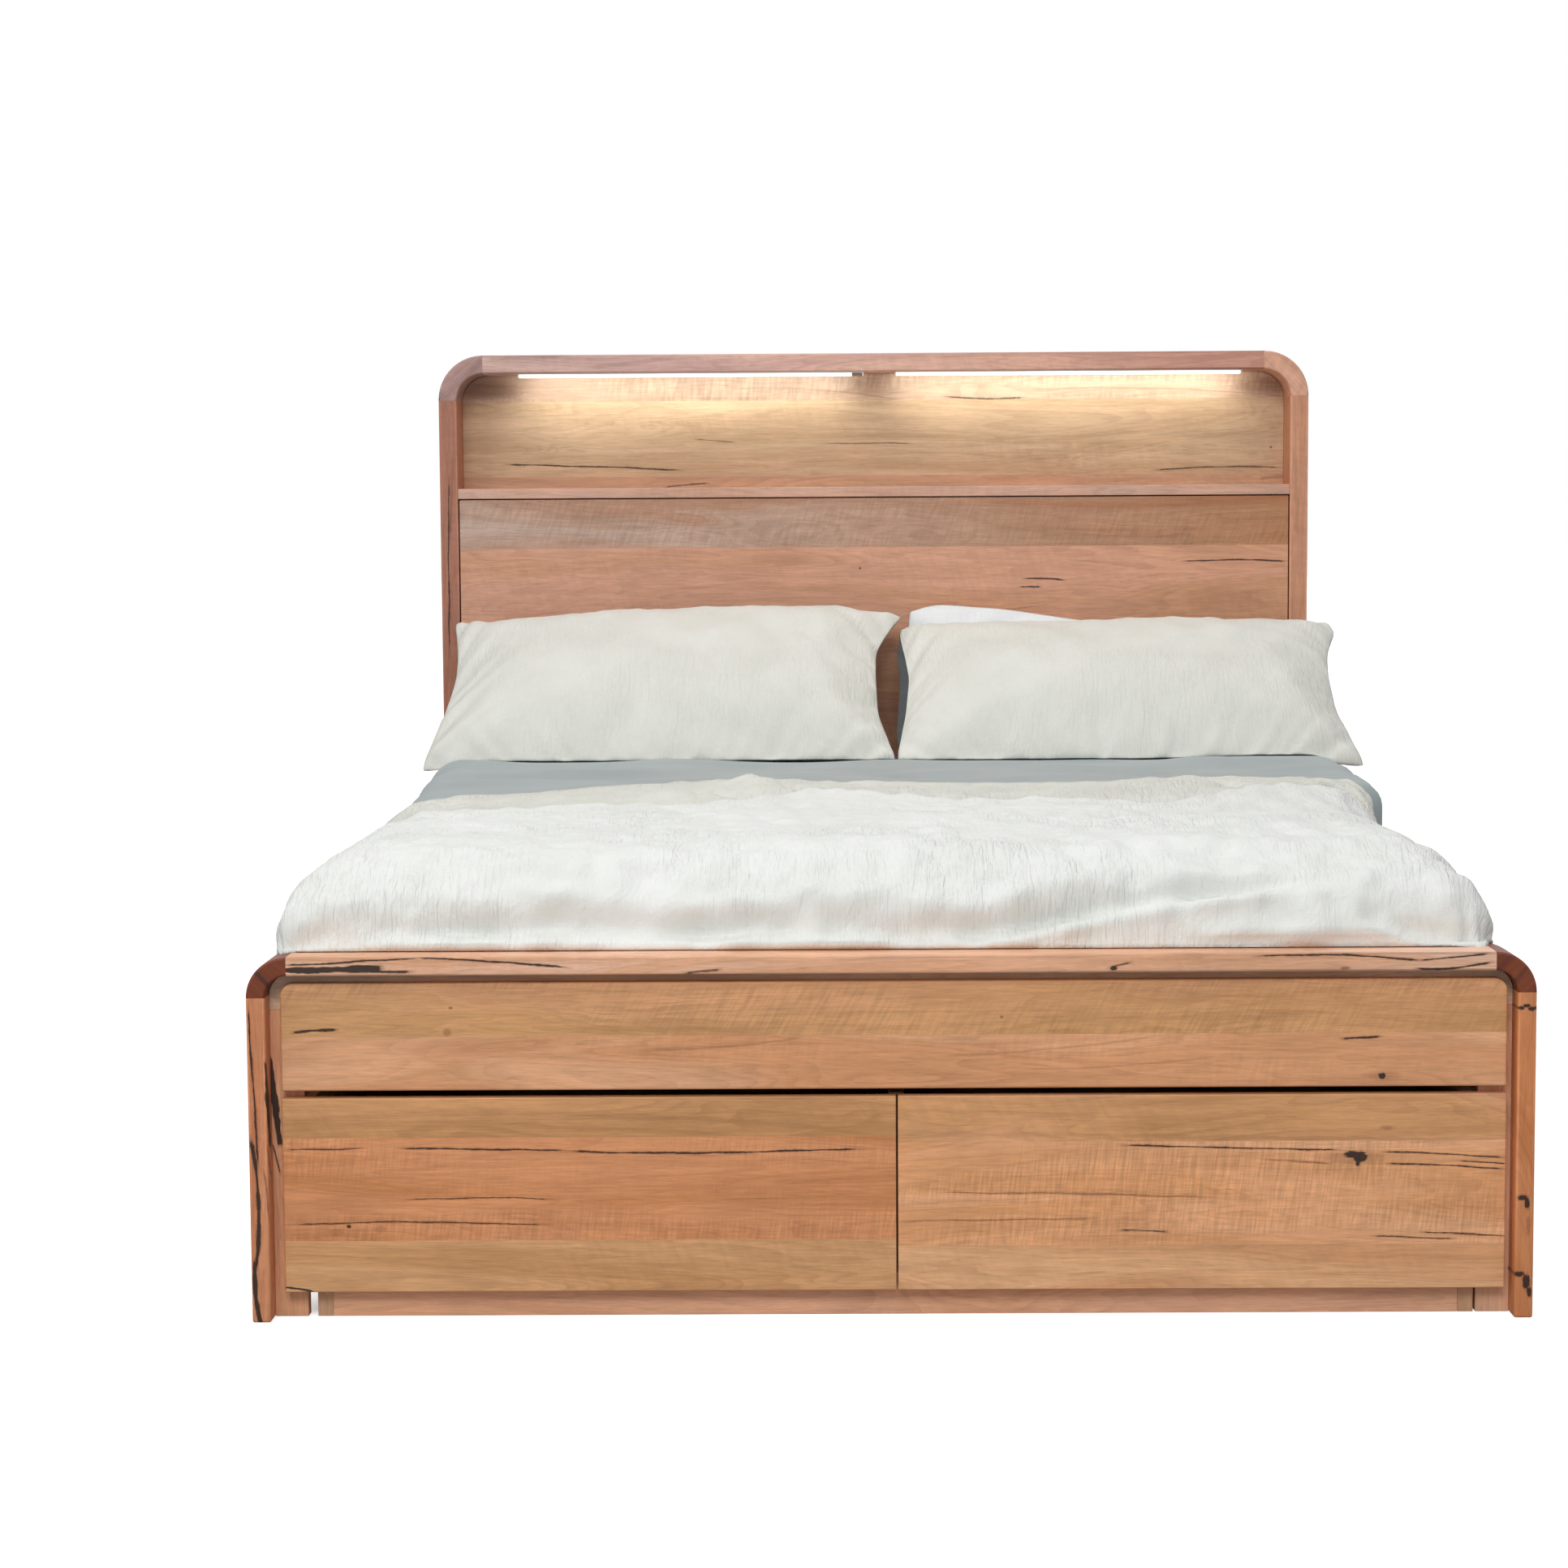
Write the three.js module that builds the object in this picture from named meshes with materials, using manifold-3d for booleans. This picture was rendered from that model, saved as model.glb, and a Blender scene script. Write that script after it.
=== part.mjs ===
// Bed with a storage headboard: an arched timber headboard with a lit niche, an arched
// footboard, two drawers that pull out under the foot, a slatted base and made-up bedding.
// Millimetres, +Z up, +X to the right seen from the foot, +Y towards the headboard.
// The origin is on the floor, in the middle of the outer box.
import * as THREE from 'three';
import { mergeVertices } from 'three/addons/utils/BufferGeometryUtils.js';
import Module from 'manifold-3d';

const wasm = await Module();
wasm.setup();

// Overall size, and the small distances that fits share
const bedWidth = 1640;
const bedLength = 2270;
const touchGap = 0.3;
const cutOverrun = 20;
const edgeRadius = 3;

// Headboard arch
const headboardHeight = 1338;
const headboardDepth = 120;
const headboardBoard = 34;
const headboardCorner = 84;

// Headboard case between the posts
const nicheHeight = 216;
const backThickness = 16;
const backRebate = 6;
const shelfThickness = 19;
const panelThickness = 18;
const panelGap = 2;
const panelSetback = 3;
const caseBottom = 180;
const caseFloorThickness = 18;
const panelCornerPlay = 2;

// Niche lighting
const ledEndGap = 54;
const ledMiddleGap = 60;
const ledShift = 12;
const ledSetback = 8;
const ledDepth = 16;
const ledHeight = 8;
const ledBase = 2;
const ledCap = 2;
const driverWidth = 170;
const driverDepth = 58;
const driverHeight = 30;
const driverShift = 430;
const socketWidth = 24;
const socketDepth = 14;
const socketHeight = 12;

// Footboard arch and the face frame inside it
const footboardHeight = 472;
const footboardDepth = 100;
const footboardBoard = 24;
const footboardCorner = 52;
const faceSetback = 36;
const faceThickness = 20;
const stileWidth = 43;
const faceRailHeight = 48;

// Fascia board and drawer fronts, which overlay the face frame
const frontThickness = 20;
const frontsLeftGap = 17;
const frontsRightGap = 10;
const fasciaTopGap = 11.5;
const fingerSlot = 9.5;
const drawerFrontBottom = 36;
const drawerFrontHeight = 252;
const frontSplit = 8;
const frontSplitGap = 2.5;
const frontPlay = 0.6;

// Drawer case that stands on the floor
const caseLeftGap = 12;
const caseRightGap = 3;
const caseBoard = 20;
const caseDepth = 900;
const caseTopGap = 2;
const kickboardHeight = 55;

// Drawer boxes and their runners
const boxRearGap = 30;
const boxBottomGap = 7;
const boxTopSetback = 38;
const boxBoard = 15;
const boxFloorThickness = 9;
const boxFloorRise = 8;
const runnerSpace = 13;
const runnerHeight = 45;
const runnerWall = 1.5;
const runnerFlangePlay = 2;
const runnerPlay = 0.4;
const runnerSetback = 4;
const runnerRearSetback = 6;
const runnerRise = 60;

// Side rails, ledges, centre beam and slats
const railThickness = 24;
const railDrop = 122;
const railRise = 118;
const ledgeWidth = 30;
const ledgeHeight = 40;
const slatSeatGap = 26;
const slatThickness = 18;
const slatWidth = 70;
const slatCount = 14;
const slatSidePlay = 2;
const slatEndPlay = 12;
const strapWidth = 38;
const strapThickness = 2;
const strapSpread = 800;
const beamWidth = 45;
const beamHeight = 70;
const legWidth = 45;
const legHeadGap = 518;

// Mattress
const mattressSidePlay = 31;
const mattressFootPlay = 22;
const mattressHeadPlay = 1;
const mattressThickness = 245;
const mattressCorner = 60;
const mattressEdge = 14;

// Duvet over the foot of the mattress, with its top edge turned down
const duvetThickness = 12;
const duvetCrown = 6;
const duvetBulgeOverhang = 32;
const duvetTuckOverhang = 23;
const duvetDrop = 173;
const duvetShoulder = 52;
const duvetFootGap = 1.5;
const duvetHeadGap = 957;
const turnDownWidth = 140;
const turnDownRise = 9;
const foldHeight = 7;
const foldWidth = 42;

// Grey sheet on the rest of the mattress, gathered to a crest in front of the pillows
const sheetRiseFoot = 14;
const sheetRiseCrest = 27;
const sheetRiseUnder = 4;
const sheetCrestHeadGap = 473;
const sheetCrestWidth = 72;
const sheetCrestFall = 60;
const sheetBulgeOverhang = 21;
const sheetTuckOverhang = 16;
const sheetHeadPlay = 2;

// Pillows: where they meet, how far they pass the mattress's sides, their length, and their
// crown to the front and to the back
const pillowSplit = 40;
const pillowSplitGap = 5;
const frontPillowLeftOverhang = 36;
const frontPillowRightOverhang = 53;
const frontPillowLength = 474;
const frontPillowCrown = 78;
const frontPillowBack = 34;
const frontPillowHeadGap = 456;
const frontPillowRise = 28;
const rearPillowMiddleGap = 30;
const rearPillowOverhang = 5;
const rearPillowLength = 446;
const rearPillowCrown = 36;
const rearPillowBack = 40;
const rearPillowHeadGap = 324;
const rearPillowRise = 15;
const drawInShare = 0.034;
const endDrawInShare = 0.02;

// Places worked out from the sizes above
const halfWidth = bedWidth / 2;
const footFace = -bedLength / 2;
const headBack = bedLength / 2;
const headFace = headBack - headboardDepth;
const postInside = halfWidth - headboardBoard;
const railUnderside = headboardHeight - headboardBoard;
const backFace = headBack - backRebate - backThickness;
const shelfTop = railUnderside - nicheHeight;
const ledLength = halfWidth - headboardCorner - ledEndGap - ledMiddleGap / 2;
const panelFace = headFace + panelSetback;
const footPostInside = halfWidth - footboardBoard;
const footRailUnderside = footboardHeight - footboardBoard;
const footboardRear = footFace + footboardDepth;
const faceFront = footFace + faceSetback;
const frontsFace = faceFront - frontThickness;
const drawerFrontTop = drawerFrontBottom + drawerFrontHeight;
const fasciaBottom = drawerFrontTop + fingerSlot;
const fasciaTop = footRailUnderside - fasciaTopGap;
const fasciaCorner = footboardCorner - footboardBoard - fasciaTopGap;
const frontsLeft = frontsLeftGap - footPostInside;
const frontsRight = footPostInside - frontsRightGap;
const caseLeft = stileWidth + caseLeftGap - footPostInside;
const caseRight = footPostInside - stileWidth - caseRightGap;
const caseRear = faceFront + caseDepth;
const caseHeight = drawerFrontTop - caseTopGap;
const slatSeat = caseHeight + slatSeatGap;
const mattressBottom = slatSeat + slatThickness;
const mattressTop = mattressBottom + mattressThickness;
const mattressHead = panelFace - mattressHeadPlay;
const mattressFoot = footboardRear + mattressFootPlay;
const mattressLength = mattressHead - mattressFoot;
const mattressSide = halfWidth - railThickness - mattressSidePlay;
const duvetBulge = mattressSide + duvetBulgeOverhang;
const duvetHem = mattressTop - duvetDrop;
const duvetHead = mattressHead - duvetHeadGap;
const sheetCrestFoot = panelFace - sheetCrestHeadGap;

const timber = { roughness: 0.5, metalness: 0 };
const headTimber = () => new THREE.MeshStandardMaterial({ color: 0xb98468, ...timber });
const footTimber = () => new THREE.MeshStandardMaterial({ color: 0xcb9a76, ...timber });
const darkTimber = () => new THREE.MeshStandardMaterial({ color: 0x6d4032, ...timber });
const paleTimber = () => new THREE.MeshStandardMaterial({ color: 0xd9bd96, ...timber });
const birchPly = () => new THREE.MeshStandardMaterial({ color: 0xdcc7a3, ...timber });
const steel = () => new THREE.MeshStandardMaterial({ color: 0xb9bcc0, roughness: 0.4, metalness: 0.9 });
const aluminium = () => new THREE.MeshStandardMaterial({ color: 0xc9ccd0, roughness: 0.35, metalness: 1 });
const opal = () => new THREE.MeshStandardMaterial({ color: 0xfff6e6, emissive: 0xfff0d8, roughness: 0.6 });
const blackPlastic = () => new THREE.MeshStandardMaterial({ color: 0x1c1c1e, roughness: 0.6 });
const linen = () => new THREE.MeshStandardMaterial({ color: 0xdfe1da, roughness: 0.95 });
const duvetLinen = () => new THREE.MeshStandardMaterial({ color: 0xe6e8e3, roughness: 0.95 });
const greySheet = () => new THREE.MeshStandardMaterial({ color: 0xa9b1b4, roughness: 0.9 });
const whiteCotton = () => new THREE.MeshStandardMaterial({ color: 0xf1f1ee, roughness: 0.95 });

const bed = new THREE.Group();

// Adds one named piece to the bed
function place(name, geometry, material) {
  const mesh = new THREE.Mesh(geometry, material);
  mesh.name = name;
  bed.add(mesh);
  return mesh;
}

// A plain board between two x, two y and two z values
function board(name, xs, ys, zs, material) {
  const geometry = new THREE.BoxGeometry(xs[1] - xs[0], ys[1] - ys[0], zs[1] - zs[0]);
  geometry.translate((xs[0] + xs[1]) / 2, (ys[0] + ys[1]) / 2, (zs[0] + zs[1]) / 2);
  return place(name, geometry, material);
}

// An outline in x and z, made solid from y = front over a thickness
function plate(shape, front, thickness) {
  const geometry = new THREE.ExtrudeGeometry(shape, {
    depth: thickness, bevelEnabled: false, curveSegments: 8,
  });
  geometry.rotateX(Math.PI / 2);
  geometry.translate(0, front + thickness, 0);
  return geometry;
}

// A closed solid through rings of points with as many points each, closed at both ends
function loft(rings) {
  const count = rings[0].length;
  const points = rings.flat();
  const faces = [];
  for (let ring = 0; ring + 1 < rings.length; ring += 1) {
    for (let i = 0; i < count; i += 1) {
      const a = ring * count + i;
      const b = ring * count + (i + 1) % count;
      faces.push(a, b, b + count, a, b + count, a + count);
    }
  }
  const last = (rings.length - 1) * count;
  const middles = [rings[0], rings[rings.length - 1]].map((ring) => {
    const sum = ring.reduce((total, point) => total.add(point), new THREE.Vector3());
    return sum.divideScalar(count);
  });
  points.push(...middles);
  for (let i = 0; i < count; i += 1) {
    const next = (i + 1) % count;
    faces.push(next, i, points.length - 2);
    faces.push(last + i, last + next, points.length - 1);
  }
  return indexed(points, faces);
}

// A geometry from points and faces, with doubled points merged and empty faces left out
function indexed(points, faces) {
  const raw = new THREE.BufferGeometry();
  raw.setAttribute('position', new THREE.Float32BufferAttribute(points.flatMap((p) => [p.x, p.y, p.z]), 3));
  raw.setIndex(faces);
  const merged = mergeVertices(raw);
  const index = merged.index.array;
  const kept = [];
  for (let i = 0; i < index.length; i += 3) {
    const [a, b, c] = [index[i], index[i + 1], index[i + 2]];
    if (a !== b && b !== c && c !== a) kept.push(a, b, c);
  }
  merged.setIndex(kept);
  merged.computeVertexNormals();
  return merged;
}

// A geometry as a solid that can be cut, and back
function toSolid(geometry) {
  const bare = geometry.clone();
  bare.deleteAttribute('normal');
  bare.deleteAttribute('uv');
  const merged = mergeVertices(bare);
  return new wasm.Manifold(new wasm.Mesh({
    numProp: 3,
    vertProperties: new Float32Array(merged.attributes.position.array),
    triVerts: new Uint32Array(merged.index.array),
  }));
}

function fromSolid(solid) {
  const mesh = solid.getMesh();
  const geometry = new THREE.BufferGeometry();
  geometry.setAttribute('position', new THREE.BufferAttribute(mesh.vertProperties, 3));
  geometry.setIndex(new THREE.BufferAttribute(mesh.triVerts, 1));
  geometry.computeVertexNormals();
  return geometry;
}

// The rounded section of an arch board: across its thickness and along its depth
function boardSection(thickness, depth) {
  const corners = [[1, -1, -1], [1, 1, 0], [-1, 1, 1], [-1, -1, 2]];
  const steps = 3;
  const section = [];
  for (const [side, end, quarter] of corners) {
    for (let i = 0; i <= steps; i += 1) {
      const turn = (Math.PI / 2) * (quarter + i / steps);
      section.push({
        across: side * (thickness / 2 - edgeRadius) + edgeRadius * Math.cos(turn),
        along: end * (depth / 2 - edgeRadius) + edgeRadius * Math.sin(turn),
      });
    }
  }
  return section;
}

// One arch: two posts, a top rail and a quarter-round block in each corner, glued flush
function arch(prefix, height, depth, thickness, corner, front, postMaterial, blockMaterial) {
  const section = boardSection(thickness, depth);
  const middle = front + depth / 2;
  const jointHeight = height - corner;
  const jointSide = halfWidth - corner;
  const boardRadius = corner - thickness / 2;
  for (const [side, sign] of [['left', -1], ['right', 1]]) {
    const postRing = (z) => section.map((p) => new THREE.Vector3(
      sign * (halfWidth - thickness / 2) + p.across, middle + p.along, z,
    ));
    place(`${prefix}_${side}_post`, loft([postRing(0), postRing(jointHeight)]), postMaterial());
    const steps = 10;
    const rings = [];
    for (let i = 0; i <= steps; i += 1) {
      const turn = (Math.PI / 2) * (i / steps);
      rings.push(section.map((p) => {
        const radius = boardRadius + sign * p.across;
        const along = middle + p.along;
        const x = sign * (jointSide + radius * Math.cos(turn));
        return new THREE.Vector3(x, along, jointHeight + radius * Math.sin(turn));
      }));
    }
    place(`${prefix}_${side}_corner_block`, loft(rings), blockMaterial());
  }
  const railRing = (x) => section.map((p) => new THREE.Vector3(
    x, middle + p.along, height - thickness / 2 - p.across,
  ));
  place(`${prefix}_top_rail`, loft([railRing(-jointSide), railRing(jointSide)]), postMaterial());
}

// An upright outline with both top corners rounded
function archedOutline(left, right, bottom, top, radius) {
  const shape = new THREE.Shape();
  shape.moveTo(left, bottom);
  shape.lineTo(right, bottom);
  shape.lineTo(right, top - radius);
  shape.absarc(right - radius, top - radius, radius, 0, Math.PI / 2, false);
  shape.lineTo(left + radius, top);
  shape.absarc(left + radius, top - radius, radius, Math.PI / 2, Math.PI, false);
  shape.closePath();
  return shape;
}

// Back, shelf, front panel and floor of the headboard case
function headboardCase() {
  const innerCorner = headboardCorner - headboardBoard + panelCornerPlay;
  const back = archedOutline(-postInside, postInside, caseBottom, railUnderside, innerCorner);
  place('headboard_back_panel', plate(back, backFace, backThickness), headTimber());
  const shelfBottom = shelfTop - shelfThickness;
  board('headboard_shelf', [-postInside, postInside], [headFace, backFace], [shelfBottom, shelfTop],
    headTimber());
  const panelHalf = postInside - panelGap;
  const panelRear = panelFace + panelThickness;
  board('headboard_front_panel', [-panelHalf, panelHalf], [panelFace, panelRear],
    [caseBottom, shelfBottom - panelGap], headTimber());
  board('headboard_case_floor', [-postInside, postInside], [panelRear, backFace],
    [caseBottom, caseBottom + caseFloorThickness], birchPly());
}

// Two light strips under the top rail: an aluminium base with end caps, and an opal cover
function nicheLights() {
  const front = headFace + ledSetback;
  for (const [side, sign] of [['left', -1], ['right', 1]]) {
    const middle = ledShift + sign * (ledMiddleGap + ledLength) / 2;
    const left = middle - ledLength / 2;
    const right = middle + ledLength / 2;
    const base = new THREE.Shape();
    base.moveTo(left, railUnderside);
    base.lineTo(left, railUnderside - ledHeight);
    base.lineTo(left + ledCap, railUnderside - ledHeight);
    base.lineTo(left + ledCap, railUnderside - ledBase);
    base.lineTo(right - ledCap, railUnderside - ledBase);
    base.lineTo(right - ledCap, railUnderside - ledHeight);
    base.lineTo(right, railUnderside - ledHeight);
    base.lineTo(right, railUnderside);
    base.closePath();
    place(`led_profile_${side}`, plate(base, front, ledDepth), aluminium());
    const coverInset = ledBase;
    board(`led_diffuser_${side}`, [left + ledCap, right - ledCap],
      [front + coverInset, front + ledDepth - coverInset],
      [railUnderside - ledHeight, railUnderside - ledBase], opal());
  }
}

// The lights' driver hangs under the case floor, with its mains socket facing the wall
function ledDriver() {
  const rear = backFace - touchGap;
  const middle = caseBottom - driverHeight / 2;
  const body = new THREE.BoxGeometry(driverWidth, driverDepth, driverHeight);
  body.translate(driverShift, rear - driverDepth / 2, middle);
  const socket = new THREE.BoxGeometry(socketWidth, socketDepth + cutOverrun, socketHeight);
  socket.translate(driverShift, rear + (cutOverrun - socketDepth) / 2, middle);
  place('led_driver', fromSolid(toSolid(body).subtract(toSolid(socket))), blackPlastic());
}

// Stiles and top rail that close the footboard arch behind the fronts, and the fascia board
function faceFrame() {
  const railBottomEdge = footRailUnderside - faceRailHeight;
  const depthRange = [faceFront, faceFront + faceThickness];
  board('face_frame_left_stile', [-footPostInside, stileWidth - footPostInside], depthRange,
    [0, railBottomEdge], footTimber());
  board('face_frame_right_stile', [footPostInside - stileWidth, footPostInside], depthRange,
    [0, railBottomEdge], footTimber());
  const innerCorner = footboardCorner - footboardBoard + panelCornerPlay;
  const rail = archedOutline(-footPostInside, footPostInside, railBottomEdge, footRailUnderside, innerCorner);
  place('face_frame_top_rail', plate(rail, faceFront, faceThickness), footTimber());
  const fascia = archedOutline(frontsLeft, frontsRight, fasciaBottom, fasciaTop, fasciaCorner);
  place('fascia_board', plate(fascia, frontsFace, frontThickness), footTimber());
}

// The drawer case: two ends, a partition between the drawers, a back and a kickboard
function drawerCase() {
  const rearRange = [caseRear - caseBoard, caseRear];
  board('drawer_case_left_end', [caseLeft, caseLeft + caseBoard], [faceFront, caseRear],
    [0, caseHeight], footTimber());
  board('drawer_case_right_end', [caseRight - caseBoard, caseRight], [faceFront, caseRear],
    [0, caseHeight], footTimber());
  board('drawer_case_partition', [frontSplit - caseBoard / 2, frontSplit + caseBoard / 2],
    [faceFront + caseBoard, rearRange[0]], [0, caseHeight], birchPly());
  board('drawer_case_back', [caseLeft + caseBoard, caseRight - caseBoard], rearRange,
    [0, caseHeight], birchPly());
  board('kickboard', [caseLeft + caseBoard, caseRight - caseBoard],
    [faceFront, faceFront + caseBoard], [0, kickboardHeight], footTimber());
}

// The C section of a runner member: its web on the wall side, its flanges to the other side
function runnerSection(wall, sign, web, tip, bottom, top) {
  const shape = new THREE.Shape();
  shape.moveTo(wall + sign * tip, bottom);
  shape.lineTo(wall + sign * web, bottom);
  shape.lineTo(wall + sign * web, top);
  shape.lineTo(wall + sign * tip, top);
  shape.lineTo(wall + sign * tip, top - runnerWall);
  const inner = web + Math.sign(tip - web) * runnerWall;
  shape.lineTo(wall + sign * inner, top - runnerWall);
  shape.lineTo(wall + sign * inner, bottom + runnerWall);
  shape.lineTo(wall + sign * tip, bottom + runnerWall);
  shape.closePath();
  return shape;
}

// A pair of runner members on one wall of a drawer's bay; sign points into the bay
function runner(drawer, side, wall, sign) {
  const front = faceFront + caseBoard + runnerSetback;
  const runnerLength = caseRear - caseBoard - boxRearGap - runnerRearSetback - front;
  const bottom = kickboardHeight + boxBottomGap + runnerRise;
  const top = bottom + runnerHeight;
  const fixedTip = runnerSpace - runnerWall - runnerFlangePlay;
  const fixed = runnerSection(wall, sign, 0, fixedTip, bottom, top);
  place(`${drawer}_${side}_case_runner`, plate(fixed, front, runnerLength), steel());
  const slack = runnerWall + runnerPlay;
  const movingTip = runnerWall + runnerFlangePlay;
  const moving = runnerSection(wall, sign, runnerSpace, movingTip, bottom + slack, top - slack);
  place(`${drawer}_${side}_drawer_runner`, plate(moving, front, runnerLength), steel());
}

// One drawer in its bay: overlay front, two sides, back and floor
function drawer(name, frontLeft, frontRight, bayLeft, bayRight) {
  const boxFront = faceFront - frontPlay;
  const boxRear = caseRear - caseBoard - boxRearGap;
  const left = bayLeft + runnerSpace;
  const right = bayRight - runnerSpace;
  const boxBottom = kickboardHeight + boxBottomGap;
  const boxTop = drawerFrontTop - boxTopSetback;
  const floorBottom = boxBottom + boxFloorRise;
  const depthRange = [boxFront, boxRear];
  const heightRange = [boxBottom, boxTop];
  board(`${name}_front`, [frontLeft, frontRight], [boxFront - frontThickness, boxFront],
    [drawerFrontBottom, drawerFrontTop], footTimber());
  board(`${name}_left_side`, [left, left + boxBoard], depthRange, heightRange, birchPly());
  board(`${name}_right_side`, [right - boxBoard, right], depthRange, heightRange, birchPly());
  board(`${name}_back`, [left + boxBoard, right - boxBoard], [boxRear - boxBoard, boxRear],
    [floorBottom, boxTop], birchPly());
  board(`${name}_floor`, [left + boxBoard, right - boxBoard], [boxFront, boxRear - boxBoard],
    [floorBottom, floorBottom + boxFloorThickness], birchPly());
  runner(name, 'left', bayLeft, 1);
  runner(name, 'right', bayRight, -1);
}

function drawers() {
  const halfGap = frontSplitGap / 2;
  const halfPartition = caseBoard / 2;
  drawer('left_drawer', frontsLeft, frontSplit - halfGap,
    caseLeft + caseBoard, frontSplit - halfPartition);
  drawer('right_drawer', frontSplit + halfGap, frontsRight,
    frontSplit + halfPartition, caseRight - caseBoard);
}

// Side rails with their ledges, and the beam and leg that hold the slats in the middle
function sideRails() {
  const railInside = halfWidth - railThickness;
  const run = [footboardRear, headFace];
  for (const [side, sign] of [['left', -1], ['right', 1]]) {
    const between = (a, b) => [Math.min(sign * a, sign * b), Math.max(sign * a, sign * b)];
    board(`side_rail_${side}`, between(railInside, halfWidth), run,
      [slatSeat - railDrop, slatSeat + railRise], footTimber());
    board(`slat_ledge_${side}`, between(railInside - ledgeWidth, railInside), run,
      [slatSeat - ledgeHeight, slatSeat], paleTimber());
  }
  board('centre_beam', [-beamWidth / 2, beamWidth / 2], [caseRear, panelFace],
    [slatSeat - beamHeight, slatSeat], paleTimber());
  const legMiddle = panelFace - legHeadGap;
  board('centre_leg', [-legWidth / 2, legWidth / 2], [legMiddle - legWidth / 2, legMiddle + legWidth / 2],
    [0, slatSeat - beamHeight], paleTimber());
}

// The roll of slats, held at their pitch by two straps underneath
function slatMat() {
  const halfSlat = halfWidth - railThickness - slatSidePlay;
  const first = footboardRear + slatEndPlay + slatWidth / 2;
  const last = panelFace - slatEndPlay - slatWidth / 2;
  const pitch = (last - first) / (slatCount - 1);
  let mat = null;
  for (let i = 0; i < slatCount; i += 1) {
    const slat = new THREE.BoxGeometry(2 * halfSlat, slatWidth, slatThickness);
    slat.translate(0, first + i * pitch, slatSeat + slatThickness / 2);
    mat = mat ? mat.add(toSolid(slat)) : toSolid(slat);
  }
  for (const sign of [-1, 1]) {
    const strap = new THREE.BoxGeometry(strapWidth, last - first + slatWidth, 2 * strapThickness);
    strap.translate(sign * strapSpread / 2, (first + last) / 2, slatSeat);
    mat = mat.add(toSolid(strap));
  }
  place('slat_mat', fromSolid(mat), paleTimber());
}

// A rectangle with rounded corners at one height, inset from the mattress's sides
function mattressRing(z, inset) {
  const steps = 6;
  const radius = mattressCorner - inset;
  const middle = mattressFoot + mattressLength / 2;
  const corners = [[1, 1, 0], [-1, 1, 1], [-1, -1, 2], [1, -1, 3]];
  const ring = [];
  for (const [sideX, sideY, quarter] of corners) {
    for (let i = 0; i <= steps; i += 1) {
      const turn = (Math.PI / 2) * (quarter + i / steps);
      ring.push(new THREE.Vector3(
        sideX * (mattressSide - mattressCorner) + radius * Math.cos(turn),
        middle + sideY * (mattressLength / 2 - mattressCorner) + radius * Math.sin(turn),
        z,
      ));
    }
  }
  return ring;
}

function mattress() {
  const softEdge = mattressEdge * (1 - Math.SQRT1_2);
  const rings = [
    mattressRing(mattressBottom, mattressEdge),
    mattressRing(mattressBottom + softEdge, softEdge),
    mattressRing(mattressBottom + mattressEdge, 0),
    mattressRing(mattressTop - mattressEdge, 0),
    mattressRing(mattressTop - softEdge, softEdge),
    mattressRing(mattressTop, mattressEdge),
  ];
  place('mattress', loft(rings), whiteCotton());
}

// Stations from one hem over a rounded shoulder, along the top and down to the other hem
function drapeStations(start, end, startRadius, endRadius, topCount) {
  const steps = 4;
  const stations = [{ at: start, drop: 0, hem: true }];
  for (let i = 0; i <= steps; i += 1) {
    const turn = (Math.PI / 2) * (i / steps);
    stations.push({
      at: start + startRadius * (1 - Math.cos(turn)), drop: startRadius * (1 - Math.sin(turn)), hem: false,
    });
  }
  const run = end - endRadius - start - startRadius;
  for (let i = 1; i < topCount; i += 1) {
    stations.push({ at: start + startRadius + (run * i) / topCount, drop: 0, hem: false });
  }
  for (let i = steps; i >= 0; i -= 1) {
    const turn = (Math.PI / 2) * (i / steps);
    stations.push({
      at: end - endRadius * (1 - Math.cos(turn)), drop: endRadius * (1 - Math.sin(turn)), hem: false,
    });
  }
  stations.push({ at: end, drop: 0, hem: true });
  return stations;
}

// Cloth laid over the mattress: a slab with round shoulders and a given top, cut from below
// by the mattress, so that a skin of cloth is left on its top and sides
function drapedCloth(columns, rows, tuckHalf, hem, topAt) {
  const points = [];
  for (const row of rows) {
    for (const column of columns) {
      const atHem = row.hem || column.hem;
      const x = atHem ? THREE.MathUtils.clamp(column.at, -tuckHalf, tuckHalf) : column.at;
      const z = atHem ? hem : topAt(column.at, row.at) - Math.hypot(column.drop, row.drop);
      points.push(new THREE.Vector3(x, row.at, z));
    }
  }
  const across = columns.length;
  const faces = [];
  for (let j = 0; j + 1 < rows.length; j += 1) {
    for (let i = 0; i + 1 < across; i += 1) {
      const a = j * across + i;
      faces.push(a, a + 1, a + across + 1, a, a + across + 1, a + across);
    }
  }
  const rim = [];
  for (let i = 0; i < across; i += 1) rim.push(i);
  for (let j = 1; j < rows.length; j += 1) rim.push(j * across + across - 1);
  for (let i = across - 2; i >= 0; i -= 1) rim.push((rows.length - 1) * across + i);
  for (let j = rows.length - 2; j > 0; j -= 1) rim.push(j * across);
  points.push(new THREE.Vector3(0, (rows[0].at + rows[rows.length - 1].at) / 2, hem));
  for (let i = 0; i < rim.length; i += 1) {
    faces.push(rim[(i + 1) % rim.length], rim[i], points.length - 1);
  }
  const inside = new THREE.BoxGeometry(2 * (mattressSide + touchGap), mattressLength + touchGap + cutOverrun,
    mattressThickness + cutOverrun + touchGap);
  inside.translate(0, mattressFoot - touchGap + (mattressLength + touchGap + cutOverrun) / 2,
    mattressTop + touchGap - (mattressThickness + cutOverrun + touchGap) / 2);
  return fromSolid(toSolid(indexed(points, faces)).subtract(toSolid(inside)));
}

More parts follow.
